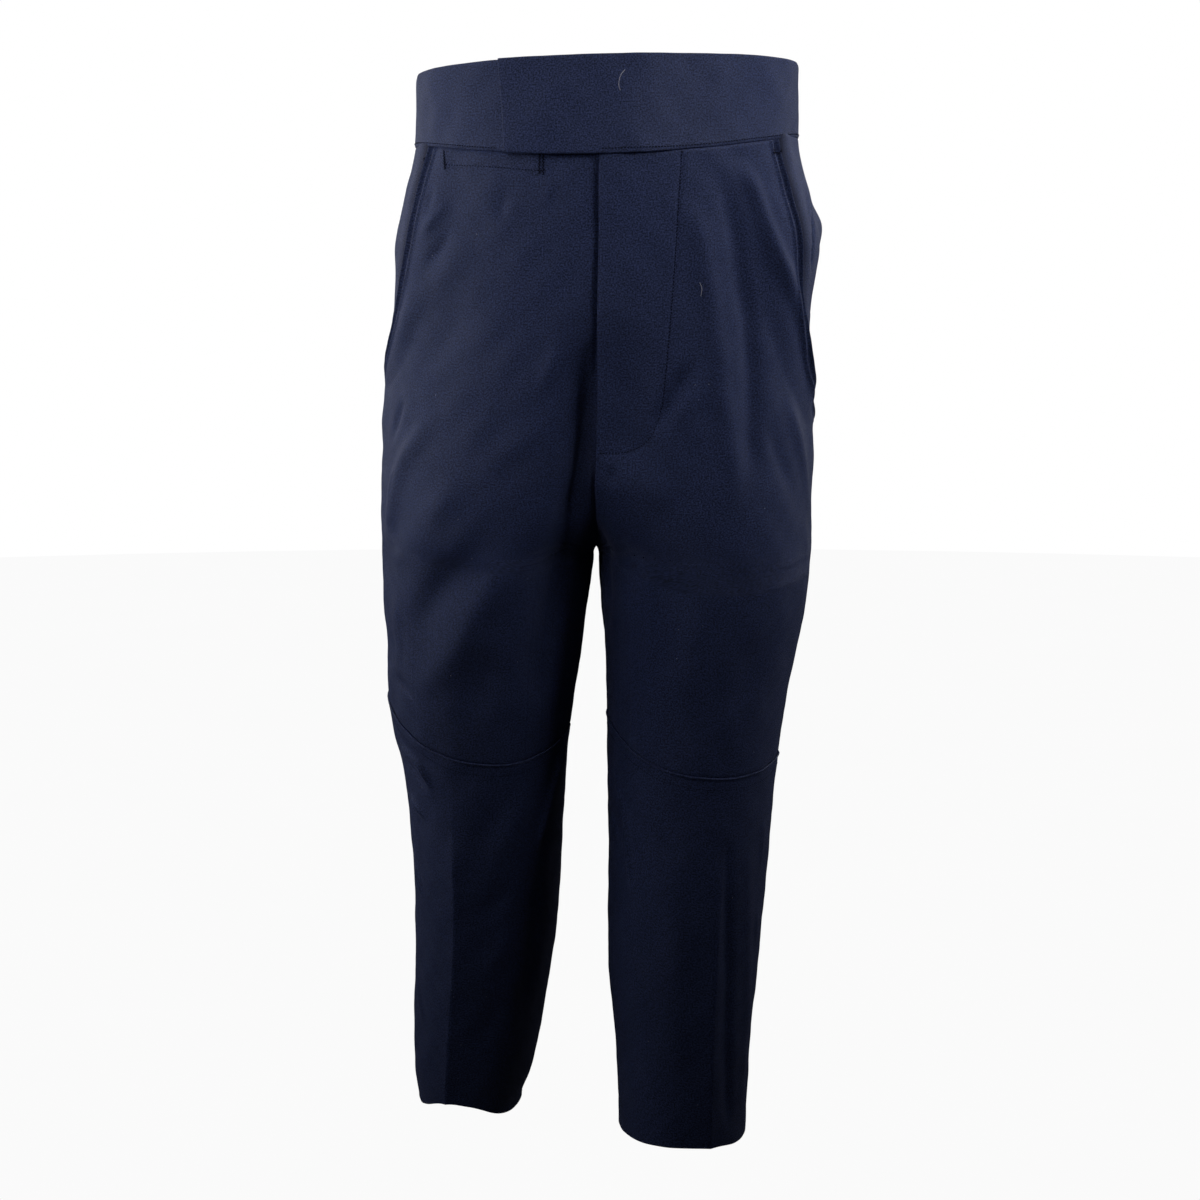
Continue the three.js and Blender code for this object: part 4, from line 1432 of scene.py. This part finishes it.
class TrouserFinishes(PropertyGroup):
    """Colours of the trousers."""

    cloth: FloatVectorProperty(
        name="Cloth", description="The twill", default=(0.0118, 0.0174, 0.0495), min=0, max=1,
        subtype="COLOR",
    )
    thread: FloatVectorProperty(
        name="Thread", description="The stitching", default=(0.0015, 0.002, 0.006), min=0, max=1,
        subtype="COLOR",
    )
    tape: FloatVectorProperty(
        name="Tape", description="The zip's tape", default=(0.007, 0.009, 0.019), min=0, max=1,
        subtype="COLOR",
    )
    metal: FloatVectorProperty(
        name="Metal", description="Zip, hook and bar", default=(0.33, 0.33, 0.34), min=0, max=1,
        subtype="COLOR",
    )
    lint: FloatVectorProperty(
        name="Lint", description="Hairs and specks on the cloth", default=(0.42, 0.43, 0.5),
        min=0, max=1, subtype="COLOR",
    )


# Each softbox: its name, place, what it faces, width and height, share of power, and beam in
# degrees.
SOFTBOXES = (
    ("top softbox", (0, -0.35, 1.4), (0, -0.1, -0.2), (0.8, 0.5), 0.045, 60),
    ("high front softbox", (0, -1, 0.9), (0, -0.1, 0.02), (0.5, 0.5), 0.024, 40),
    ("upper left softbox", (-1.35, -0.65, 0.6), (-0.05, 0, 0), (0.6, 0.6), 0.13, 46),
    ("near left softbox", (-0.9, -1.3, 0.2), (-0.05, 0, -0.1), (0.6, 0.6), 0.09, 48),
    ("low left softbox", (-1.2, -1, -0.5), (-0.05, 0, -0.6), (0.5, 0.6), 0.032, 60),
    ("left softbox", (-1.5, 0, 0.1), (-0.1, 0, -0.15), (0.6, 0.8), 0.26, 60),
    ("far left softbox", (-1.4, 0.35, 0.3), (-0.1, 0, -0.15), (0.6, 0.8), 0.12, 60),
    ("far right softbox", (1.3, 0, 0.8), (0.1, 0, 0.03), (0.5, 0.5), 0.17, 48),
    ("right softbox", (1.35, -0.55, 0.5), (0.1, 0, 0.06), (0.5, 0.5), 0.28, 50),
    ("low right softbox", (1.5, 0.1, -0.4), (0.1, 0, -0.6), (0.5, 0.7), 0.028, 60),
    ("back left softbox", (-1.1, 1.3, 0.3), (0, 0, -0.3), (0.8, 1.2), 0.13, 70),
    ("back right softbox", (1.2, 1.2, 0.2), (0, 0, -0.3), (0.8, 1.2), 0.13, 70),
)


SENSOR_WIDTH = 36
CAMERA_ASIDE = -0.007  # the trousers' centre line is this far to one side


class StageSettings(PropertyGroup):
    """The floor, light and camera."""

    floor_drop: FloatProperty(
        name="Floor drop", description="How far the floor is below the hems", default=0.25,
        min=0, max=1, unit="LENGTH",
    )
    floor_colour: FloatVectorProperty(
        name="Floor", description="The pale floor", default=(0.96, 0.96, 0.96), min=0, max=1,
        subtype="COLOR",
    )
    power: FloatProperty(
        name="Light", description="Power of all the softboxes together", default=4.8, min=0,
        max=500, unit="POWER",
    )
    room: FloatProperty(
        name="Room", description="Strength of the light from all round", default=0.01, min=0,
        max=2,
    )
    camera_height: FloatProperty(
        name="Camera height", description="Above the waist", default=-0.185, unit="LENGTH",
    )
    camera_distance: FloatProperty(
        name="Camera distance", description="In front of the waist's centre", default=1.7,
        min=0.5, max=5, unit="LENGTH",
    )
    camera_tilt: FloatProperty(
        name="Camera tilt", description="How far the camera looks down",
        default=math.radians(6.6), subtype="ANGLE",
    )
    lens: FloatProperty(
        name="Lens", description="Focal length", default=64.2, min=20, max=200, unit="CAMERA",
    )


# ---------------------------------------------------------------- operators
class TROUSERS_OT_fronts(Operator):
    """Cut and sew the two upper fronts, with the fly and the pocket mouths"""

    bl_idname = "trousers.fronts"
    bl_label = "Fronts"

    def execute(self, context):
        for leg in LEGS:
            hang(make_thigh(leg), f"front_{leg.name}_thigh")
        return {"FINISHED"}


class TROUSERS_OT_lower_fronts(Operator):
    """Cut and sew the two lower fronts, with their pressed creases"""

    bl_idname = "trousers.lower_fronts"
    bl_label = "Lower fronts"

    def execute(self, context):
        for leg in LEGS:
            hang(make_shin(leg), f"front_{leg.name}_shin")
        return {"FINISHED"}


class TROUSERS_OT_backs(Operator):
    """Cut and sew the two backs"""

    bl_idname = "trousers.backs"
    bl_label = "Backs"

    def execute(self, context):
        for leg in LEGS:
            hang(make_back(leg), f"back_{leg.name}")
        return {"FINISHED"}


class TROUSERS_OT_facings(Operator):
    """Cut and sew the facings in the pocket mouths"""

    bl_idname = "trousers.facings"
    bl_label = "Pocket facings"

    def execute(self, context):
        for leg in LEGS:
            hang(make_facing(leg), f"pocket_facing_{leg.name}")
        return {"FINISHED"}


class TROUSERS_OT_waistband(Operator):
    """Fold and sew the two halves of the waistband, the left one with its tab"""

    bl_idname = "trousers.waistband"
    bl_label = "Waistband"

    def execute(self, context):
        for leg in LEGS:
            hang(make_band(leg), f"waistband_{leg.name}")
        return {"FINISHED"}


class TROUSERS_OT_stitching(Operator):
    """Sew the visible rows of stitches and the bar tacks"""

    bl_idname = "trousers.stitching"
    bl_label = "Stitching"

    def execute(self, context):
        sizes = context.scene.trouser_sizes
        pitch, width = sizes.stitch / MM, sizes.thread
        size = (STITCHES["share"] * sizes.stitch, width, STITCHES["height"] * width)
        fine = (
            KNEE_ROW["share"] * sizes.stitch, KNEE_ROW["width"] * width, KNEE_ROW["height"] * width
        )
        sew("waist_stitches", [waist_row(leg) for leg in LEGS], pitch, size)
        sew("fly_stitches", [Row.across_front(LEFT, FLY_ROW)], pitch, size)
        sew("watch_pocket_stitches", [Row.across_front(RIGHT, WATCH_ROW)], pitch, size)
        sew("pocket_stitches", [pocket_row(leg) for leg in LEGS], pitch, size)
        sew("knee_stitches", [knee_row(leg) for leg in LEGS], pitch, fine)
        tacks = [tack(RIGHT, ends) for ends in WATCH_TACKS]
        for leg in LEGS:
            tacks += [tack(leg, ends, zigs=3, swing=1.4) for ends in POCKET_TACKS[leg.name]]
        size = (TACK["length"], width, TACK["height"] * width)
        sew("bar_tacks", tacks, TACK["pitch"], size, raise_by=TACK["raise"])
        return {"FINISHED"}


class TROUSERS_OT_closure(Operator):
    """Finish the zip, the hook and the bar behind the fly and the tab"""

    bl_idname = "trousers.closure"
    bl_label = "Closure"

    def execute(self, context):
        nodes = frame["nodes"]
        for name in ("zip_slider", "waist_hook", "waist_bar"):
            for slot in nodes[name].material_slots:
                slot.material = dull_metal()
        hang(make_tape(), "zip_tape")
        make_teeth()
        return {"FINISHED"}


class TROUSERS_OT_lint(Operator):
    """Lay a few pale hairs and specks on the cloth"""

    bl_idname = "trousers.lint"
    bl_label = "Lint"

    def execute(self, context):
        parts = [lay_hair(*hair) for hair in HAIRS]
        rng = np.random.default_rng(SPECKS["seed"])
        parts += [scatter_specks(leg, face, rng) for leg in LEGS for face in ("front", "back")]
        centres, along, out = (np.concatenate(group) for group in zip(*parts))
        mesh = copy_many("lint", stitch_master(*SPECKS["size"]), centres * MM, along, out)
        piece = new_piece("lint", mesh)
        mesh.materials.append(lint())
        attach(piece, "root")
        return {"FINISHED"}


def softbox(name, place, aim, size, power, beam):
    light = bpy.data.lights.new(name, "AREA")
    light.shape, (light.size, light.size_y) = "RECTANGLE", size
    light.energy, light.spread = power, math.radians(beam)
    lamp = bpy.data.objects.new(name, light)
    lamp.location = place
    lamp.rotation_euler = (Vector(aim) - Vector(place)).to_track_quat("-Z", "Y").to_euler()
    bpy.context.collection.objects.link(lamp)


class TROUSERS_OT_stage(Operator):
    """Set the floor, the studio light and the camera"""

    bl_idname = "trousers.stage"
    bl_label = "Stage"

    def execute(self, context):
        settings = context.scene.trouser_stage
        hem = CAD_BOUNDS[0][2]
        bpy.ops.object.select_all(action="DESELECT")
        bpy.ops.mesh.primitive_circle_add(vertices=96, radius=8, fill_type="NGON")
        floor = context.object
        floor.name = "floor"
        bpy.ops.object.mode_set(mode="EDIT")
        bpy.ops.transform.translate(value=(0, 0, hem - settings.floor_drop))
        bpy.ops.object.mode_set(mode="OBJECT")
        floor.data.materials.append(pale_floor())
        self.light(context, settings)
        camera = bpy.data.objects.new("camera", bpy.data.cameras.new("camera"))
        camera.data.lens, camera.data.sensor_width = settings.lens, SENSOR_WIDTH
        camera.location = (CAMERA_ASIDE, -settings.camera_distance, settings.camera_height)
        camera.rotation_euler = (math.pi / 2 - settings.camera_tilt, 0, 0)
        context.collection.objects.link(camera)
        context.scene.camera = camera
        context.scene.view_settings.view_transform = "Standard"
        return {"FINISHED"}

    def light(self, context, settings):
        for name, place, aim, size, share, beam in SOFTBOXES:
            softbox(name, place, aim, size, share * settings.power, beam)
        world = bpy.data.worlds.new("studio")
        world.use_nodes = True
        sky = world.node_tree.nodes["Background"]
        seen = world.node_tree.nodes.new("ShaderNodeBackground")
        set_socket(sky, Color=(1, 1, 1, 1), Strength=settings.room)
        set_socket(seen, Color=(1, 1, 1, 1), Strength=1.0)
        show_to_camera(world.node_tree, "World Output", sky, seen)
        context.scene.world = world


OPERATORS = (
    TROUSERS_OT_fronts,
    TROUSERS_OT_lower_fronts,
    TROUSERS_OT_backs,
    TROUSERS_OT_facings,
    TROUSERS_OT_waistband,
    TROUSERS_OT_stitching,
    TROUSERS_OT_closure,
    TROUSERS_OT_lint,
    TROUSERS_OT_stage,
)


class TROUSERS_PT_sidebar(Panel):
    """The trousers' pieces, sizes and colours"""

    bl_label = "Dress trousers"
    bl_space_type = "VIEW_3D"
    bl_region_type = "UI"
    bl_category = "Trousers"

    def draw(self, context):
        for operator in OPERATORS:
            self.layout.operator(operator.bl_idname)
        for group_name in GROUPS:
            group = getattr(context.scene, group_name)
            box = self.layout.box()
            for name in group.bl_rna.properties.keys():
                if name not in ("rna_type", "name"):
                    box.prop(group, name)


CLASSES = (TrouserSizes, TrouserFinishes, StageSettings, *OPERATORS, TROUSERS_PT_sidebar)
GROUPS = {
    "trouser_sizes": TrouserSizes,
    "trouser_finishes": TrouserFinishes,
    "trouser_stage": StageSettings,
}


def register():
    for cls in CLASSES:
        bpy.utils.register_class(cls)
    for name, group in GROUPS.items():
        setattr(bpy.types.Scene, name, PointerProperty(type=group))


def unregister():
    for name in GROUPS:
        delattr(bpy.types.Scene, name)
    for cls in reversed(CLASSES):
        bpy.utils.unregister_class(cls)


def main():
    register()
    bpy.ops.object.select_all(action="DESELECT")
    bpy.ops.trousers.fronts()
    bpy.ops.trousers.lower_fronts()
    bpy.ops.trousers.backs()
    bpy.ops.trousers.facings()
    bpy.ops.trousers.waistband()
    bpy.ops.trousers.stitching()
    bpy.ops.trousers.closure()
    bpy.ops.trousers.lint()
    bpy.ops.trousers.stage()


if __name__ == "__main__":
    main()
